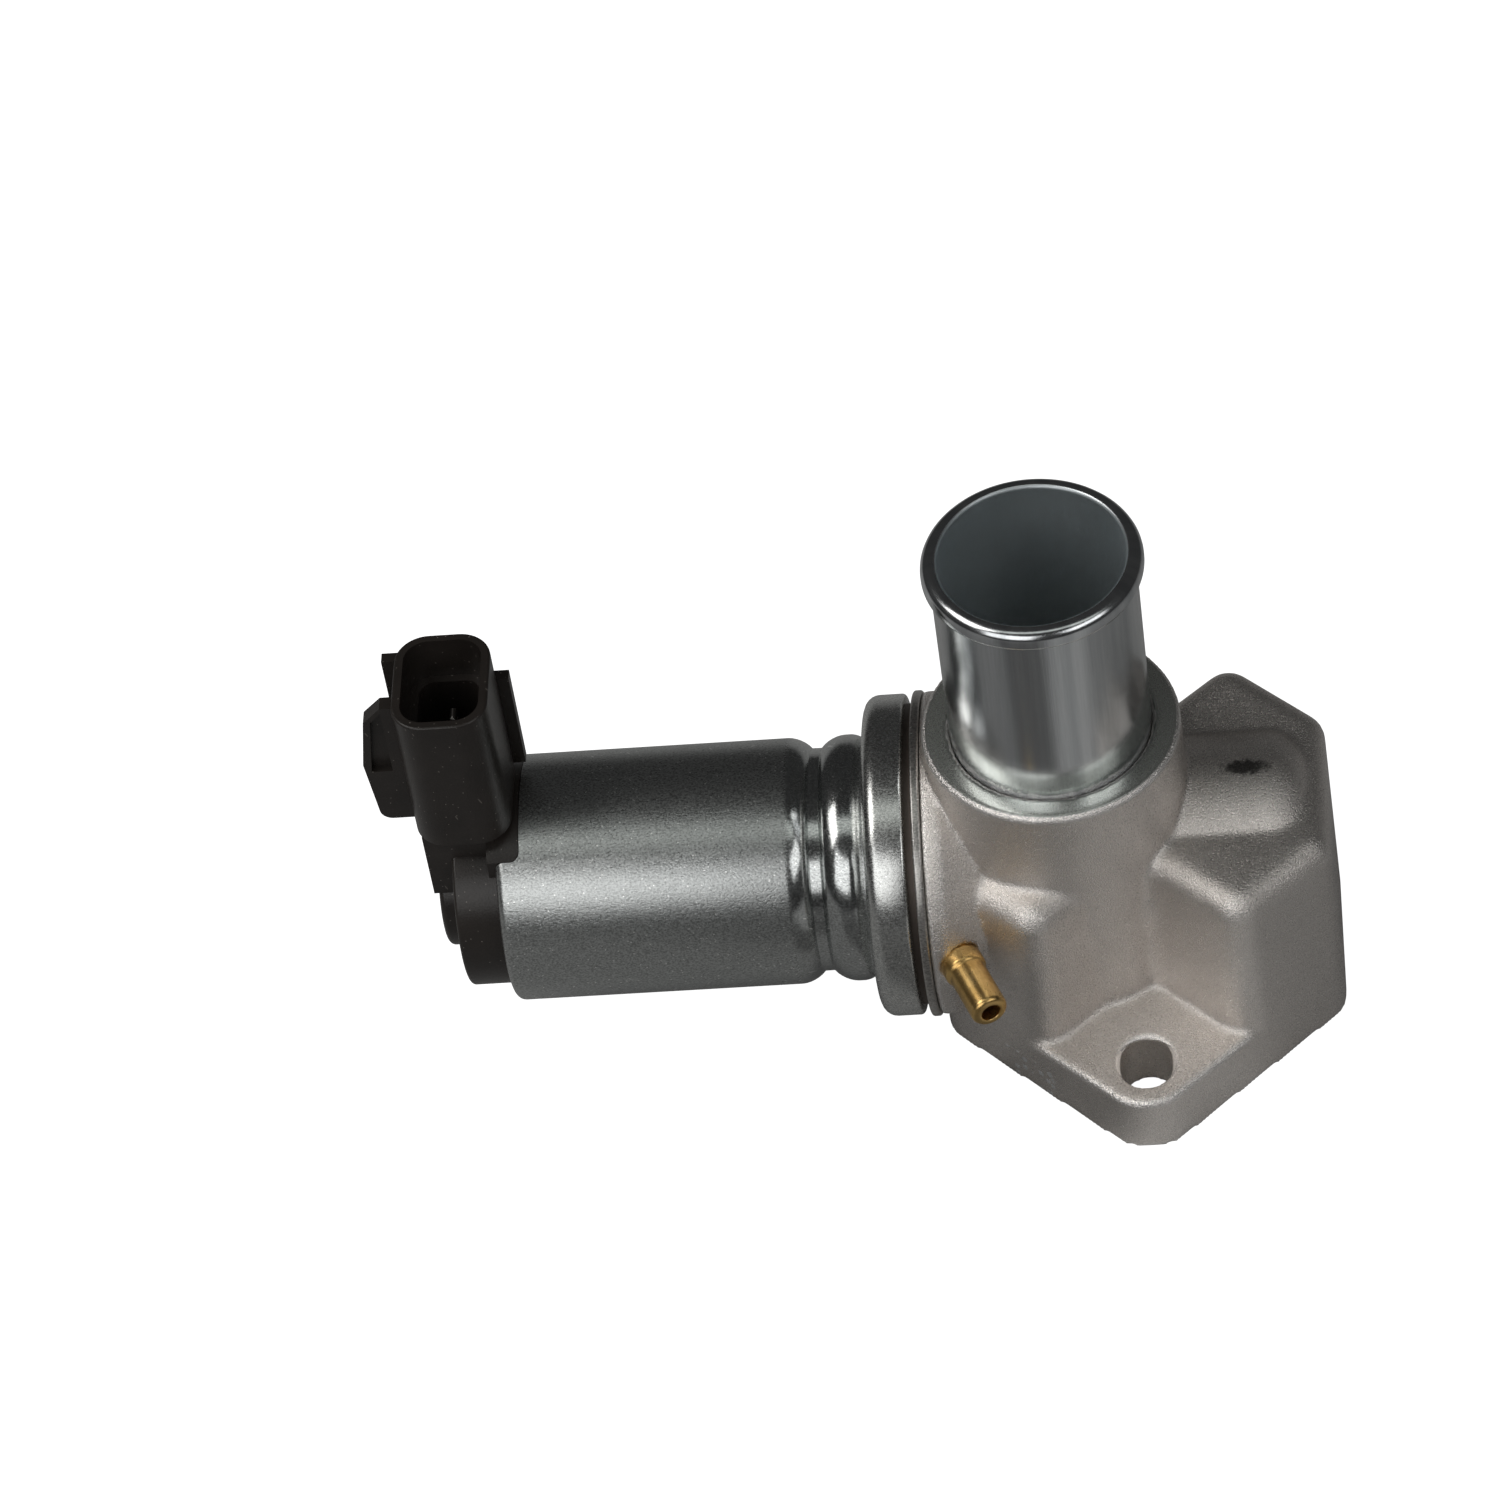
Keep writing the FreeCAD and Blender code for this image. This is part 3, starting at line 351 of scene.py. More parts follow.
# Where the flange is nicked: low and high along each axis, and how soft each limit is.
NICK_LIMITS = (("X", -18.0, -12.0, 0.5), ("Y", -24.5, -17.5, 0.5), ("Z", 0.4, 5.0, 0.2))


def diagonal(tree, first, second):
    """Length of the diagonal of two distances."""
    squares = [math_node(tree, "MULTIPLY", leg, leg) for leg in (first, second)]
    return math_node(tree, "SQRT", math_node(tree, "ADD", *squares))


def reach_from_tube(tree, coordinates):
    """Distance from the hose tube's axis."""
    place = split_place(tree, coordinates)
    return diagonal(tree, math_node(tree, "SUBTRACT", place["X"], TUBE_X * UNIT), place["Y"])


def within(tree, value, low, high, blur):
    """Mask that is 1 where a value lies between two limits, with soft edges."""
    rise = add_node(tree, "ShaderNodeMapRange", interpolation_type="SMOOTHSTEP")
    fall = add_node(tree, "ShaderNodeMapRange", interpolation_type="SMOOTHSTEP")
    for node, start, end in ((rise, low - blur, low + blur), (fall, high + blur, high - blur)):
        tree.links.new(value, node.inputs["Value"])
        node.inputs["From Min"].default_value = start
        node.inputs["From Max"].default_value = end
    return math_node(tree, "MULTIPLY", rise.outputs[0], fall.outputs[0])


def boss_masks(tree, coordinates, height):
    """Masks of the machined ring round the tube and of the joint line at its foot."""
    reach = reach_from_tube(tree, coordinates)
    above = within(tree, height, (BOSS_TOP - 0.12) * UNIT, (BOSS_TOP + 1) * UNIT, 0.00004)
    ring = within(tree, reach, RING_INNER * UNIT, RING_OUTER * UNIT, 0.00012)
    line = within(tree, reach, JOINT_INNER * UNIT, JOINT_OUTER * UNIT, 0.00006)
    return math_node(tree, "MULTIPLY", above, ring), math_node(tree, "MULTIPLY", above, line)


def drilled_mask(tree, place):
    """Mask of the walls of both bolt slots."""
    side = math_node(tree, "SUBTRACT", math_node(tree, "ABSOLUTE", place["Y"]), BOLT_SPOT_Y * UNIT)
    return within(tree, diagonal(tree, side, place["X"]), -0.001, SLOT_REACH * UNIT, 0.00015)


def edge_highlight_mask(tree, grain):
    """Mask of the painted highlight on the outer edges, broken up by the grain."""
    edge_highlight = add_node(tree, "ShaderNodeAttribute", attribute_name="edge_highlight")
    edges = within(tree, edge_highlight.outputs["Fac"], 0.065, 5, 0.035)
    return math_node(tree, "MULTIPLY", edges, math_node(tree, "ADD", grain, 0.25))


def hump_shade_mask(tree, coordinates):
    """Mask of the ragged oval of painted shade along the top of the hump."""
    spot = add_node(tree, "ShaderNodeMapping", vector_type="POINT")
    spot.inputs["Location"].default_value = [-c * UNIT for c in HUMP_SHADE_SPOT]
    tree.links.new(coordinates, spot.inputs["Vector"])
    stretch = add_node(tree, "ShaderNodeMapping", Scale=HUMP_SHADE_STRETCH)
    tree.links.new(spot.outputs[0], stretch.inputs["Vector"])
    away = add_node(tree, "ShaderNodeVectorMath", operation="LENGTH")
    tree.links.new(stretch.outputs[0], away.inputs[0])
    shade_ragging = add_grain(tree, coordinates, 0.0007, 0.02).outputs["Grain"]
    ragged = math_node(tree, "MULTIPLY_ADD", shade_ragging, 0.0016, away.outputs["Value"])
    return within(tree, ragged, -0.01, HUMP_SHADE_REACH * UNIT, 0.0005)


def nick_mask(tree, coordinates, place):
    """Mask of the small nicks at the low left side of the flange."""
    nicks = add_node(tree, "ShaderNodeTexVoronoi", feature="F1", Scale=700.0)
    tree.links.new(coordinates, nicks.inputs["Vector"])
    mask = math_node(tree, "LESS_THAN", nicks.outputs["Distance"], 0.34)
    for axis, low, high, blur in NICK_LIMITS:
        inside = within(tree, place[axis], low * UNIT, high * UNIT, blur * UNIT)
        mask = math_node(tree, "MULTIPLY", mask, inside)
    return mask


def cast_aluminium():
    """Blasted casting: sandy grain and cloudy tone, with its machined and nicked places, a painted highlight
    on its outer edges and a painted shade on the hump.
    """
    material, tree, shader, coordinates = new_finish("cast_aluminium")
    group = add_grain(tree, coordinates, 0.00022, 0.009)
    grain = group.outputs["Grain"]
    place = split_place(tree, coordinates)
    tone = ramp(tree, group.outputs["Cloud"], [(0.3, CAST_DARK), (0.7, CAST_LIGHT)])
    speckled = mix_colour(tree, math_node(tree, "MULTIPLY", grain, 0.6), tone, CAST_SPECKLE)
    # Painted highlight: a lighter colour on the outer edges, which are also a little smoother.
    highlit_edges = edge_highlight_mask(tree, grain)
    edged = mix_colour(tree, highlit_edges, speckled, PAINTED_EDGE_HIGHLIGHT)
    machined, joint = boss_masks(tree, coordinates, place["Z"])
    turned_top = mix_colour(tree, math_node(tree, "MULTIPLY", machined, 0.9), edged, MACHINED_GREY)
    jointed = mix_colour(tree, math_node(tree, "MULTIPLY", joint, 0.75), turned_top, JOINT_DARK)
    # Painted shade: a dark oval along the top of the hump.
    hump_shade = math_node(tree, "MULTIPLY", hump_shade_mask(tree, coordinates), 0.9)
    marked = mix_colour(tree, hump_shade, jointed, HUMP_SHADE_DARK)
    nicked = nick_mask(tree, coordinates, place)
    tree.links.new(mix_colour(tree, nicked, marked, (1.0, 1.0, 1.0)), shader.inputs["Base Color"])

    shader.inputs["Metallic"].default_value = 0.88
    sandy = math_node(tree, "MULTIPLY_ADD", grain, 0.2, 0.19)
    tree.links.new(math_node(tree, "MULTIPLY_ADD", highlit_edges, -0.12, sandy), shader.inputs["Roughness"])
    smooth = math_node(tree, "MAXIMUM", machined, drilled_mask(tree, place))
    sand = math_node(tree, "MULTIPLY", grain, math_node(tree, "SUBTRACT", 1.15, smooth))
    add_bump(tree, shader, math_node(tree, "ADD", sand, nicked), 0.00012)
    return material


# %% Cast body piece
CAST_VOXEL = 0.00046
CAST_SMOOTHING = 2


def merged_copy(node):
    """Bmesh of a CAD node with its loose triangles joined."""
    bm = bmesh.new()
    bm.from_mesh(nodes[node].data)
    bmesh.ops.remove_doubles(bm, verts=bm.verts[:], dist=2e-6)
    return bm


def even_net(bm, voxel):
    """The same closed shape as an even voxel net."""
    source = loose_object("net_source", bm)
    remesh = source.modifiers.new("net", "REMESH")
    remesh.mode = "VOXEL"
    remesh.voxel_size = voxel
    remesh.adaptivity = 0
    result = modified_mesh(source)
    bpy.data.objects.remove(source)
    net = bmesh.new()
    net.from_mesh(result)
    bpy.data.meshes.remove(result)
    return net


def mark_edge_highlights(net):
    """Keeps how much each vertex stands out from its neighbours, for the painted highlight on the outer
    edges.
    """
    net.normal_update()
    edge_highlight = net.verts.layers.float.new("edge_highlight")
    for vert in net.verts:
        ways = [edge.other_vert(vert).co - vert.co for edge in vert.link_edges]
        vert[edge_highlight] = -sum(way.normalized().dot(vert.normal) for way in ways) / len(ways)


def make_cast_body():
    """Remeshed and softened casting in place of the plain solid."""
    net = even_net(merged_copy("body_casting"), CAST_VOXEL)
    for _ in range(CAST_SMOOTHING):
        bmesh.ops.smooth_vert(net, verts=net.verts[:], factor=0.5,
                              use_axis_x=True, use_axis_y=True, use_axis_z=True)
    mark_edge_highlights(net)
    finish_piece("cast_body", net, "housing", cast_aluminium(),
                 covers=("body_casting",), smooth_angle=80)


make_cast_body()

# %% [markdown]
# ## Hose tube
# A drawn steel tube is pressed into the boss and zinc plated. Its mouth is rolled over to a
# narrow bead that keeps the hose on. It is the shiniest piece, so it is spun with many steps and
# gets a finish with fine lines along its length from drawing.

# %% Bright zinc finish
# Dark and light ends of the broad upright streaks of painted reflection.
ZINC_DARK, ZINC_LIGHT = (0.62, 0.645, 0.66), (0.86, 0.88, 0.89)
DRAWN_LINE = (0.36, 0.37, 0.38)
TUBE_INSIDE = (0.66, 0.71, 0.73)
INSIDE_REACH = 11.85
DRAW_OUT = 0.02


def angle_about_tube(tree, coordinates):
    """Angle round the tube's axis, and the height along it."""
    place = split_place(tree, coordinates)
    shifted = math_node(tree, "SUBTRACT", place["X"], TUBE_X * UNIT)
    return math_node(tree, "ARCTAN2", place["Y"], shifted), place["Z"]


def drawn_noise(tree, unrolled, scale, detail, roughness):
    """Noise over the unrolled wall of the tube."""
    noise = add_node(tree, "ShaderNodeTexNoise", Scale=scale, Detail=detail, Roughness=roughness)
    tree.links.new(unrolled, noise.inputs["Vector"])
    return noise.outputs["Fac"]


def bright_zinc():
    """Plated drawn tube: bright, with lines that run up it from drawing, and broad upright streaks of painted
    reflection in its colour.
    """
    material, tree, shader, coordinates = new_finish("bright_zinc")
    angle, height = angle_about_tube(tree, coordinates)
    join = tree.nodes.new("ShaderNodeCombineXYZ")
    tree.links.new(math_node(tree, "MULTIPLY", angle, TUBE_RADIUS * UNIT), join.inputs["X"])
    tree.links.new(math_node(tree, "MULTIPLY", height, DRAW_OUT), join.inputs["Y"])
    lines = drawn_noise(tree, join.outputs[0], 4600.0, 4.0, 0.7)
    # Painted reflection: broad upright streaks of lighter and darker zinc.
    reflection_streaks = drawn_noise(tree, join.outputs[0], 420.0, 2.0, 0.5)
    grain = add_grain(tree, coordinates, 0.00025, 0.006).outputs["Grain"]
    tone = ramp(tree, reflection_streaks, [(0.35, ZINC_DARK), (0.65, ZINC_LIGHT)])
    lined = mix_colour(tree, math_node(tree, "MULTIPLY", lines, 0.7), tone, DRAWN_LINE)
    inside = within(tree, reach_from_tube(tree, coordinates), 0, INSIDE_REACH * UNIT, 0.00015)
    tree.links.new(mix_colour(tree, inside, lined, TUBE_INSIDE), shader.inputs["Base Color"])
    shader.inputs["Metallic"].default_value = 1.0
    drawn = math_node(tree, "MULTIPLY_ADD", lines, 0.16, 0.10)
    tree.links.new(math_node(tree, "MULTIPLY_ADD", inside, 0.32, drawn), shader.inputs["Roughness"])
    relief = math_node(tree, "ADD", lines, math_node(tree, "MULTIPLY", grain, 0.4))
    add_bump(tree, shader, relief, 0.000008)
    return material


# %% Hose tube piece
TUBE_FOOT, TUBE_TOP = 37.5, 75.9
TUBE_BORE = 11.6
BEAD_START, BEAD_FULL = 72.9, 73.4
BEAD_RADIUS = 13.7


def make_hose_tube():
    """Tube with its rolled bead, from its foot in the boss to its mouth."""
    corners = [
        (TUBE_FOOT, TUBE_BORE, 0), (TUBE_FOOT, TUBE_RADIUS, 0.3), (BEAD_START, TUBE_RADIUS, 0.5),
        (BEAD_FULL, BEAD_RADIUS, 0.5), (TUBE_TOP, BEAD_RADIUS, 1.5), (TUBE_TOP, TUBE_BORE, 0.55),
    ]
    finish_piece("tube_skin", spun(corners, TUBE_AXIS, Z, -Y), "housing", bright_zinc(),
                 covers=("hose_tube",))


make_hose_tube()

# %% [markdown]
# ## Vacuum nipple
# A small brass nipple is pressed into the neck at an angle. It has a short collar, a barrel with
# a rounded tip and a bore, and its turned surface has dulled to a warm brown-gold.

# %% Brass nipple
NIPPLE_ANGLE = math.radians(23.5)
NIPPLE_AXIS = Vector((math.sin(NIPPLE_ANGLE), -math.cos(NIPPLE_ANGLE), 0))
NIPPLE_SPOT = Vector((-0.0219, -0.0202, 0.0231))


NIPPLE_ROOT, NIPPLE_TIP = -3.15, 8.6
NIPPLE_RADIUS = 2.4
NIPPLE_BORE = 1.25
COLLAR_BACK, COLLAR_FRONT, COLLAR_FOOT = -0.95, 0.95, 1.35
COLLAR_RADIUS = 2.75
BRASS_DARK, BRASS_LIGHT = (0.61, 0.375, 0.125), (0.82, 0.55, 0.215)


def turned_brass():
    """Golden turned brass with a faint grain and brown tarnish."""
    material, tree, shader, coordinates = new_finish("turned_brass")
    grain = add_grain(tree, coordinates, 0.0002, 0.003)
    tone = ramp(tree, grain.outputs["Cloud"], [(0.35, BRASS_DARK), (0.65, BRASS_LIGHT)])
    tree.links.new(tone, shader.inputs["Base Color"])
    shader.inputs["Metallic"].default_value = 1.0
    rough = math_node(tree, "MULTIPLY_ADD", grain.outputs["Grain"], 0.15, 0.22)
    tree.links.new(rough, shader.inputs["Roughness"])
    add_bump(tree, shader, grain.outputs["Grain"], 0.00001)
    return material


def make_nipple():
    """Nipple with its root in the casting."""
    corners = [
        (NIPPLE_ROOT, NIPPLE_BORE, 0), (NIPPLE_ROOT, NIPPLE_RADIUS, 0.2), (COLLAR_BACK, NIPPLE_RADIUS, 0),
        (COLLAR_BACK, COLLAR_RADIUS, 0.1), (COLLAR_FRONT, COLLAR_RADIUS, 0.25),
        (COLLAR_FOOT, NIPPLE_RADIUS, 0.15), (NIPPLE_TIP, NIPPLE_RADIUS, 0.8), (NIPPLE_TIP, NIPPLE_BORE, 0.15),
    ]
    bm = spun(corners, NIPPLE_SPOT, NIPPLE_AXIS, Z, steps=72)
    finish_piece("nipple_skin", bm, "housing", turned_brass(), covers=("vacuum_nipple",))


make_nipple()

# %% [markdown]
# ## Solenoid can
# The coil sits in a deep-drawn steel can with a rolled groove, plated with dull speckled zinc. Its
# rear edge has a notch for the connector. The can is spun first, and a rounded block is then
# taken away by a boolean, which keeps the notch's walls crisp. Rolling has polished the groove, so
# it is smoother than the rest.

# %% Dull zinc finish
SCRATCH_STRETCH = (8.0, 1.0, 1.0)
ROLLED_FROM, ROLLED_TO = -43.2, -34.0
# Scratches are painted in a bright glint colour.
SCRATCH_GLINT = (1.0, 1.0, 0.98)


def scratch_mask(tree, coordinates, size, turn, amount):
    """Short fine scratches: the middles of stretched cells."""
    mapping = add_node(tree, "ShaderNodeMapping", vector_type="TEXTURE", Scale=SCRATCH_STRETCH, Rotation=turn)
    tree.links.new(coordinates, mapping.inputs["Vector"])
    cells = add_node(tree, "ShaderNodeTexVoronoi", feature="F1", Scale=1 / size, Randomness=1.0)
    tree.links.new(mapping.outputs[0], cells.inputs["Vector"])
    return math_node(tree, "LESS_THAN", cells.outputs["Distance"], amount)


def dull_zinc(name, tint, rough_low, relief):
    """Speckled zinc plating: short scratches painted bright as glints, streaks along the can, and smoother
    where rolled.
    """
    material, tree, shader, coordinates = new_finish(name)
    grain = add_grain(tree, coordinates, 0.00021, 0.006, stretch=(0.7, 1, 1)).outputs["Grain"]
    streak = add_grain(tree, coordinates, 0.0006, 0.02, stretch=(0.08, 1, 1)).outputs["Grain"]
    tone = ramp(tree, grain, [(0.38, scaled(tint, 0.55)), (0.60, tint)])
    streaked = mix_colour(tree, math_node(tree, "MULTIPLY", streak, 0.4), tone, scaled(tint, 0.6))
    scratched = math_node(tree, "MAXIMUM",
                          scratch_mask(tree, coordinates, 0.0008, (0.3, 0.5, 0.7), 0.10),
                          scratch_mask(tree, coordinates, 0.0010, (1.1, -0.6, -0.8), 0.09))
    # Real scratches, painted bright as glints.
    marked = mix_colour(tree, scratched, streaked, SCRATCH_GLINT)
    tree.links.new(marked, shader.inputs["Base Color"])
    shader.inputs["Metallic"].default_value = 1.0
    along = split_place(tree, coordinates)["X"]
    rolled = within(tree, along, ROLLED_FROM * UNIT, ROLLED_TO * UNIT, 0.0006)
    sandy = math_node(tree, "MULTIPLY_ADD", grain, 0.20, rough_low)
    tree.links.new(math_node(tree, "MULTIPLY_ADD", rolled, -0.13, sandy), shader.inputs["Roughness"])
    bumps = math_node(tree, "MULTIPLY", grain, math_node(tree, "SUBTRACT", 1.1, rolled))
    add_bump(tree, shader, bumps, relief)
    return material


can_zinc = dull_zinc("can_zinc", (0.66, 0.68, 0.67), 0.21, 0.00003)
ring_zinc = dull_zinc("ring_zinc", (0.84, 0.85, 0.83), 0.16, 0.000012)
plate_zinc = dull_zinc("plate_zinc", (0.66, 0.64, 0.61), 0.24, 0.00002)


# %% Can piece
CAN_END, CAN_INSIDE_END = -80.4, -79.3
CAN_RADIUS, CAN_INSIDE, CAN_MOUTH = 15.8, 14.7, 13.55
GROOVE_START, GROOVE_END = -41.75, -38.05
FLOOR_START, FLOOR_END = -40.25, -39.55
GROOVE_RADIUS = 13.9
BAND_END = -34.9
NECK_START = -34.0
NECK_RADIUS, NECK_INSIDE = 15.3, 14.2
FLANGE_BACK, FLANGE_FRONT = -32.35, -31.25
FLANGE_RADIUS = 18.6
NOTCH_LOW, NOTCH_HIGH = (-81.4, -8.9, 30), (-77.2, 8.9, 38.8)
NOTCH_ROUNDING = 1.2


def cut_away(piece, bm_cutter):
    """Takes a closed shape out of a piece and keeps the result as plain mesh."""
    cutter = loose_object("cutter", bm_cutter)
    boolean = piece.modifiers.new("cut", "BOOLEAN")
    boolean.object = cutter
    boolean.solver = "EXACT"
    result = modified_mesh(piece)
    piece.modifiers.clear()
    piece.data = result
    bpy.data.objects.remove(cutter)
    result.set_sharp_from_angle(angle=math.radians(35))
    print(piece.name, "after the cut", len(result.polygons), "faces")


def rounded_block(low, high, rounding):
    """Closed box between two corners in millimetres, with its upright edges rounded."""
    bm = bmesh.new()
    size = [h - l for l, h in zip(low, high)]
    middle = [(h + l) / 2 for l, h in zip(low, high)]
    place = Matrix.Translation(Vector(middle) * UNIT) @ Matrix.Diagonal((*[s * UNIT for s in size], 1))
    bmesh.ops.create_cube(bm, size=1, matrix=place)
    upright = [e for e in bm.edges if abs(e.verts[0].co.z - e.verts[1].co.z) > 1e-6]
    bmesh.ops.bevel(bm, geom=upright, offset=rounding * UNIT, offset_type="OFFSET", segments=5,
                    profile=0.5, affect="EDGES", material=-1)
    return bm


def make_can():
    """Can from its rear shoulder to the flange that the ring is rolled over."""
    corners = [
        (CAN_END, CAN_MOUTH, 0.25), (CAN_END, CAN_RADIUS, 1.1), (GROOVE_START, CAN_RADIUS, 1.8),
        (FLOOR_START, GROOVE_RADIUS, 0.3), (FLOOR_END, GROOVE_RADIUS, 0.3), (GROOVE_END, CAN_RADIUS, 1.8),
        (BAND_END, CAN_RADIUS, 0.6), (NECK_START, NECK_RADIUS, 0.25), (FLANGE_BACK, NECK_RADIUS, 0),
        (FLANGE_BACK, FLANGE_RADIUS, 0.2), (FLANGE_FRONT, FLANGE_RADIUS, 0), (FLANGE_FRONT, NECK_INSIDE, 0),
        (CAN_INSIDE_END, CAN_INSIDE, 0), (CAN_INSIDE_END, CAN_MOUTH, 0),
    ]
    can = finish_piece("can_skin", spun(corners, COIL_AXIS, X, Z), "housing", can_zinc,
                       covers=("solenoid_can",))
    cut_away(can, rounded_block(NOTCH_LOW, NOTCH_HIGH, NOTCH_ROUNDING))


make_can()

# %% Rolled ring and face plate
RING_BACK, RING_FRONT = -33.35, -28.05
RING_RADIUS, RING_INSIDE, LIP_RADIUS = 20.6, 18.7, 15.35
PLATE_BACK, FACE_X = -27.05, -25.9
PLATE_RADIUS, PLATE_BORE = 20.9, 10.05


def make_ring():
    """Ring rolled over the can's flange, rounded at both edges."""
    corners = [
        (RING_BACK, LIP_RADIUS, 0.3), (RING_BACK, RING_RADIUS, 1.9), (RING_FRONT, RING_RADIUS, 0.5),
        (RING_FRONT, RING_INSIDE, 0), (FLANGE_BACK, RING_INSIDE, 0), (FLANGE_BACK, LIP_RADIUS, 0),
    ]
    finish_piece("ring_skin", spun(corners, COIL_AXIS, X, Z), "housing", ring_zinc,
                 covers=("crimp_ring",))


def make_plate():
    """Thin disc that lies on the machined face."""
    corners = [
        (PLATE_BACK, PLATE_BORE, 0), (PLATE_BACK, PLATE_RADIUS, 0.3),
        (FACE_X, PLATE_RADIUS, 0.3), (FACE_X, PLATE_BORE, 0),
    ]
    finish_piece("plate_skin", spun(corners, COIL_AXIS, X, Z), "housing", plate_zinc,
                 covers=("clamp_plate",))


make_ring()
make_plate()

# %% [markdown]
# ## Cap and connector
# The cap, the upright shroud, the lock lug and the ribs are one black moulding. The solid's own
# shape is right, so it keeps its mesh and gets the moulded finish, with dust that the black shows.

# %% Black moulding finish
PLASTIC_DARK, PLASTIC_LIGHT = (0.019, 0.0158, 0.0137), (0.030, 0.0248, 0.0214)
DUST = (0.32, 0.29, 0.26)
RUBBED = (0.30, 0.27, 0.24)


def black_moulding():
    """Near-black moulded plastic with a faint sheen and pale dust specks."""
    material, tree, shader, coordinates = new_finish("black_moulding")
    grain = add_grain(tree, coordinates, 0.00022, 0.006)
    tone = ramp(tree, grain.outputs["Cloud"], [(0.3, PLASTIC_DARK), (0.7, PLASTIC_LIGHT)])
    dusty = mix_colour(tree, math_node(tree, "MULTIPLY", grain.outputs["Speck"], 0.5), tone, DUST)
    scratched = scratch_mask(tree, coordinates, 0.0016, (0.2, 1.2, 0.4), 0.05)
    rubbed = mix_colour(tree, math_node(tree, "MULTIPLY", scratched, 0.4), dusty, RUBBED)
    tree.links.new(rubbed, shader.inputs["Base Color"])
    rough = math_node(tree, "MULTIPLY_ADD", grain.outputs["Grain"], 0.15, 0.26)
    tree.links.new(rough, shader.inputs["Roughness"])
    add_bump(tree, shader, grain.outputs["Grain"], 0.00002)
    return material


# %% Cap piece
def paint(node, material):
    """The node's solid keeps its mesh and gets this finish."""
    mesh = nodes[node].data
    mesh.materials.clear()
    mesh.materials.append(material)


black_plastic = black_moulding()
paint("end_cap_connector", black_plastic)

# %% [markdown]
# ## Pieces inside
# The pieces inside the can and the valve chamber are seen through the tube and the port, or not
# at all. Each still gets the finish of what it is made of: turned steel, copper, rubber, bronze.

# %% Inside finishes
def plain_metal(name, colour, roughness):
    """Turned metal with a little grain."""
    material, tree, shader, coordinates = new_finish(name)
    grain = add_grain(tree, coordinates, 0.0003, 0.006)
    tone = mix_colour(tree, math_node(tree, "MULTIPLY", grain.outputs["Grain"], 0.5), colour,
                      scaled(colour, 0.6))
    tree.links.new(tone, shader.inputs["Base Color"])
    shader.inputs["Metallic"].default_value = 1.0
    rough = math_node(tree, "MULTIPLY_ADD", grain.outputs["Cloud"], 0.2, roughness)
    tree.links.new(rough, shader.inputs["Roughness"])
    add_bump(tree, shader, grain.outputs["Grain"], 0.00001)
    return material


def soft_rubber():
    """Moulded black rubber, matt, with a faint bloom."""
    material, tree, shader, coordinates = new_finish("soft_rubber")
    grain = add_grain(tree, coordinates, 0.0004, 0.005)
    tone = ramp(tree, grain.outputs["Cloud"], [(0.3, (0.012, 0.012, 0.012)), (0.7, (0.035, 0.034, 0.033))])
    tree.links.new(tone, shader.inputs["Base Color"])
    rough = math_node(tree, "MULTIPLY_ADD", grain.outputs["Grain"], 0.2, 0.6)
    tree.links.new(rough, shader.inputs["Roughness"])
    add_bump(tree, shader, grain.outputs["Grain"], 0.00002)
    return material


magnet_steel = plain_metal("magnet_steel", (0.46, 0.46, 0.47), 0.25)
seat_brass = plain_metal("seat_brass", (0.66, 0.47, 0.22), 0.22)
bush_bronze = plain_metal("bush_bronze", (0.52, 0.34, 0.17), 0.4)
copper_wire = plain_metal("copper_wire", (0.60, 0.26, 0.12), 0.3)
tin_plate = plain_metal("tin_plate", (0.62, 0.60, 0.56), 0.25)
rubber = soft_rubber()
gasket_fibre = plain_metal("gasket_fibre", (0.16, 0.135, 0.12), 0.45)
for node, material in (
        ("pole_plate", magnet_steel), ("rear_pole", magnet_steel), ("rear_washer", magnet_steel),
        ("armature", magnet_steel), ("valve_stem", magnet_steel), ("return_spring", magnet_steel),
        ("spring_seat", plate_zinc), ("stem_clip", plate_zinc), ("valve_seat", seat_brass),
        ("guide_sleeve", seat_brass), ("front_bush", bush_bronze), ("coil_winding", copper_wire),
        ("terminal_pin_near", tin_plate), ("terminal_pin_far", tin_plate), ("valve_poppet", rubber),
        ("pilot_seal", rubber), ("end_seal", rubber), ("face_gasket", gasket_fibre),
        ("coil_bobbin", black_plastic)):
    paint(node, material)

# %% [markdown]
# ## Table and light
# The valve stands on a white table in a light tent. The table is white to the camera alone. As a
# light it is grey, by an amount that changes round the valve, which gives the plated tube its
# upright stripes. Four large lamps and a dim even sky light the part.

# %% Table
# Direction in degrees from the front to the right, and how light the table's grey is there.
TABLE_GREYS = [
    (-88, 0.50), (-70, 0.36), (-38, 0.34), (-30, 0.17), (2, 0.20), (14, 0.62), (45, 0.60),
    (60, 0.40), (120, 0.45), (180, 0.60), (260, 0.60),
]
TABLE_RADIUS = 1.6
TABLE_DROP = 0.0002


def round_about(azimuth):
    """Place on the angle's ramp of a direction in degrees, counted from the front to the right."""
    return ((azimuth - 90) / 360 + 0.5) % 1


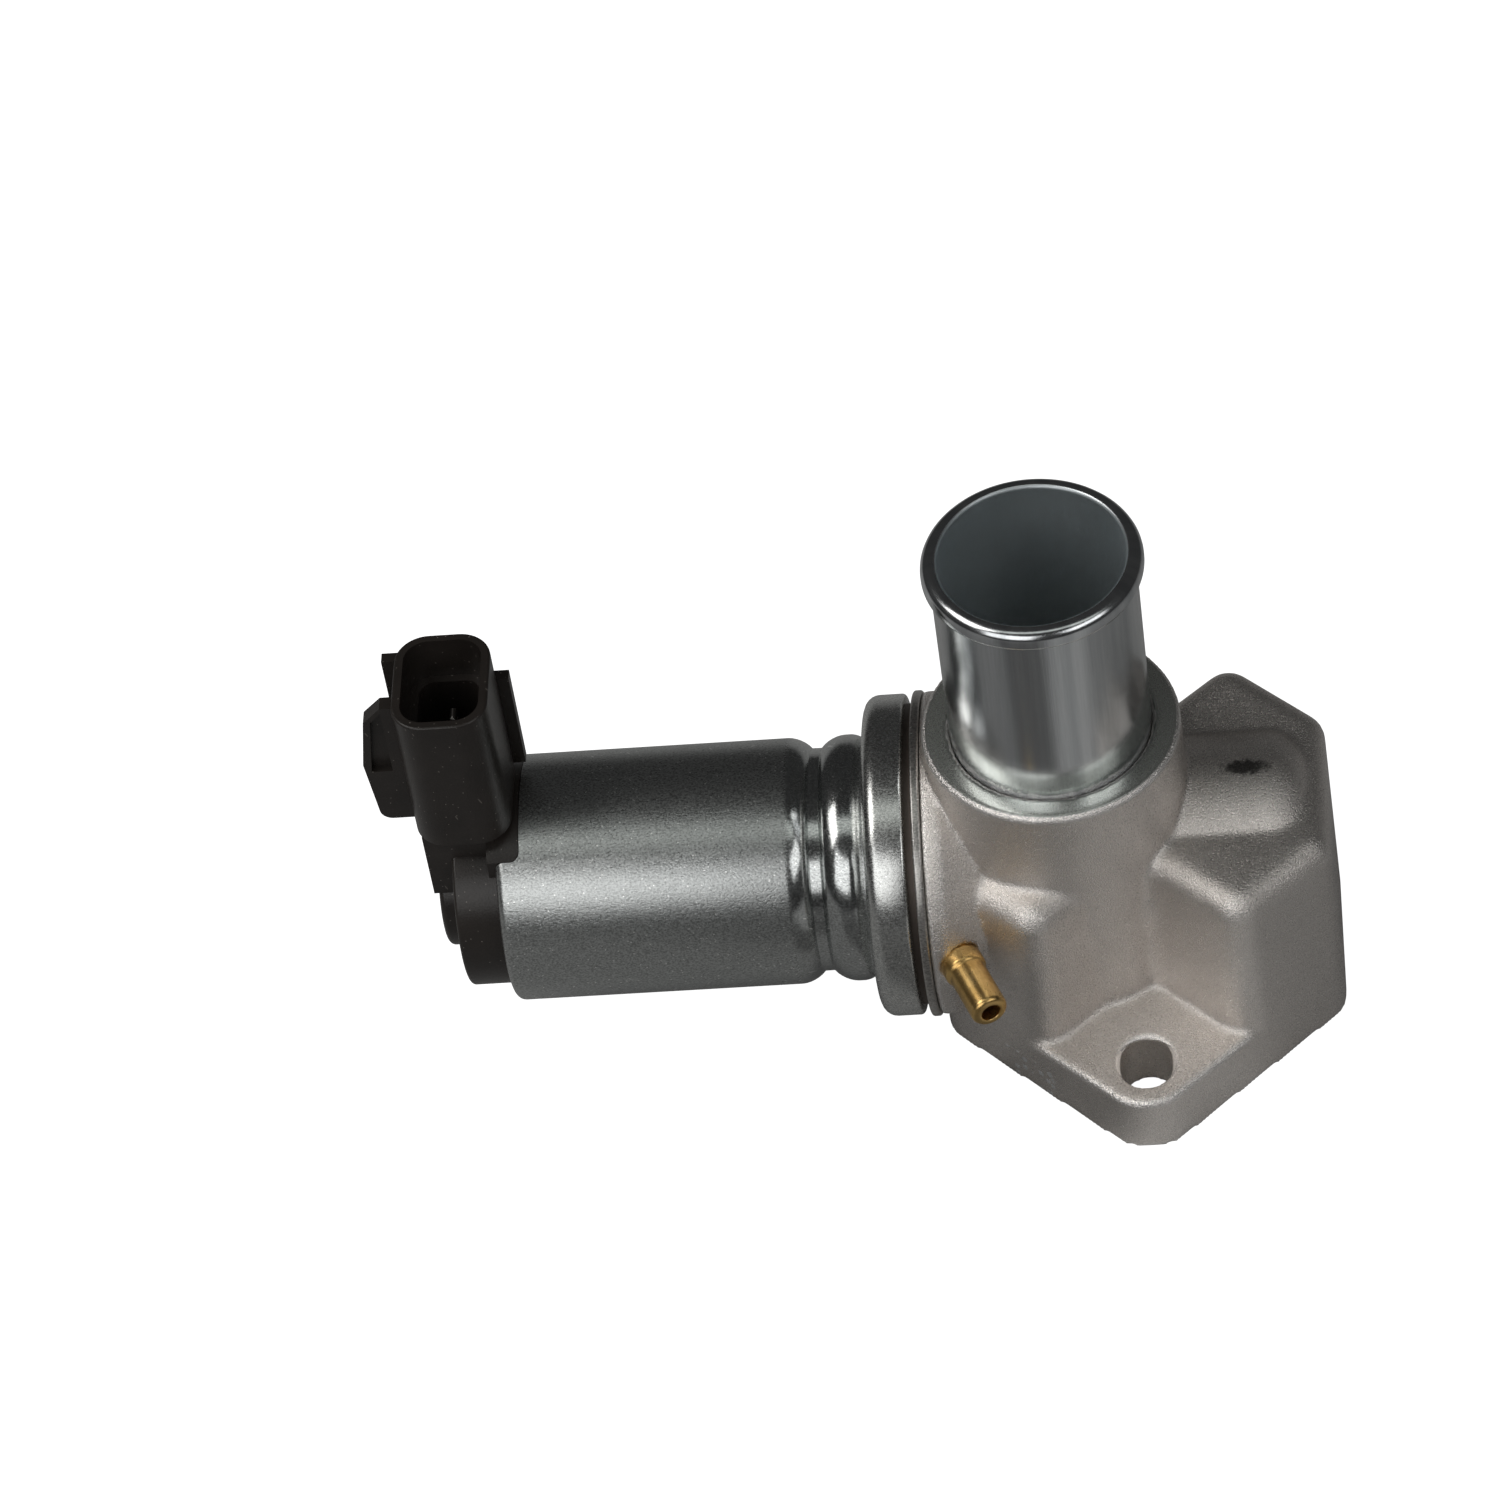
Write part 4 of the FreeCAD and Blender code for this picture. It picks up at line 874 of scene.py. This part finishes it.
def paper_table():
    """Matt paper, white to the camera; its grey as a light changes round the valve."""
    material, tree, shader, coordinates = new_finish("paper_table")
    angle, _ = angle_about_tube(tree, coordinates)
    place = math_node(tree, "MULTIPLY_ADD", angle, 1 / (2 * math.pi), 0.5)
    tone = ramp(tree, place, [(round_about(azimuth), (grey, grey, grey)) for azimuth, grey in TABLE_GREYS])
    tree.links.new(tone, shader.inputs["Base Color"])
    shader.inputs["Roughness"].default_value = 0.9
    path = tree.nodes.new("ShaderNodeLightPath")
    glow = tree.nodes.new("ShaderNodeEmission")
    glow.inputs["Color"].default_value = (1, 1, 1, 1)
    tree.links.new(path.outputs["Is Camera Ray"], glow.inputs["Strength"])
    both = tree.nodes.new("ShaderNodeAddShader")
    tree.links.new(shader.outputs[0], both.inputs[0])
    tree.links.new(glow.outputs[0], both.inputs[1])
    tree.links.new(both.outputs[0], tree.nodes["Material Output"].inputs["Surface"])
    return material


def make_table():
    """Round table top just under the mounting face."""
    bm = bmesh.new()
    bmesh.ops.create_circle(bm, cap_ends=True, segments=96, radius=TABLE_RADIUS,
                            matrix=Matrix.Translation((0, 0, -TABLE_DROP)))
    table = loose_object("table", bm)
    table.data.materials.append(paper_table())


make_table()


# %% Lamps and sky
LAMP_DISTANCE = 0.9
AIM = Vector((-0.03, 0, 0.03))
DIM_SKY = 0.035


def soft_box(name, azimuth, elevation, width, height, radiance, colour=(1, 1, 1)):
    """Large rectangular lamp that looks at the valve from a direction given in degrees."""
    turn, lift = math.radians(azimuth), math.radians(elevation)
    way = Vector((math.cos(lift) * math.sin(turn), -math.cos(lift) * math.cos(turn), math.sin(lift)))
    data = bpy.data.lights.new(name, "AREA")
    data.shape = "RECTANGLE"
    data.size = width
    data.size_y = height
    data.energy = radiance * math.pi * width * height
    data.color = colour
    lamp = bpy.data.objects.new(name, data)
    bpy.context.scene.collection.objects.link(lamp)
    lamp.location = AIM + way * LAMP_DISTANCE
    lamp.rotation_euler = (-way).to_track_quat("-Z", "Y").to_euler()


soft_box("box_front_left", -24, 32, 0.66, 0.52, 1.6)
soft_box("box_front_right", 50, 37, 0.55, 0.34, 1.6)
soft_box("box_overhead", 0, 79, 1.3, 0.24, 0.7, (0.96, 1.0, 0.96))
soft_box("box_left", -84, 52, 0.5, 0.4, 3.0, (1.0, 0.98, 0.96))


def light_tent():
    """Sky that is white to the camera and dim as a light."""
    world = bpy.data.worlds.new("tent")
    bpy.context.scene.world = world
    world.use_nodes = True
    tree = world.node_tree
    background = tree.nodes["Background"]
    path = tree.nodes.new("ShaderNodeLightPath")
    strength = math_node(tree, "MULTIPLY_ADD", path.outputs["Is Camera Ray"], 1.0 - DIM_SKY, DIM_SKY)
    tree.links.new(strength, background.inputs["Strength"])
    background.inputs["Color"].default_value = (1, 1, 1, 1)


light_tent()
bpy.context.scene.view_settings.view_transform = "Standard"
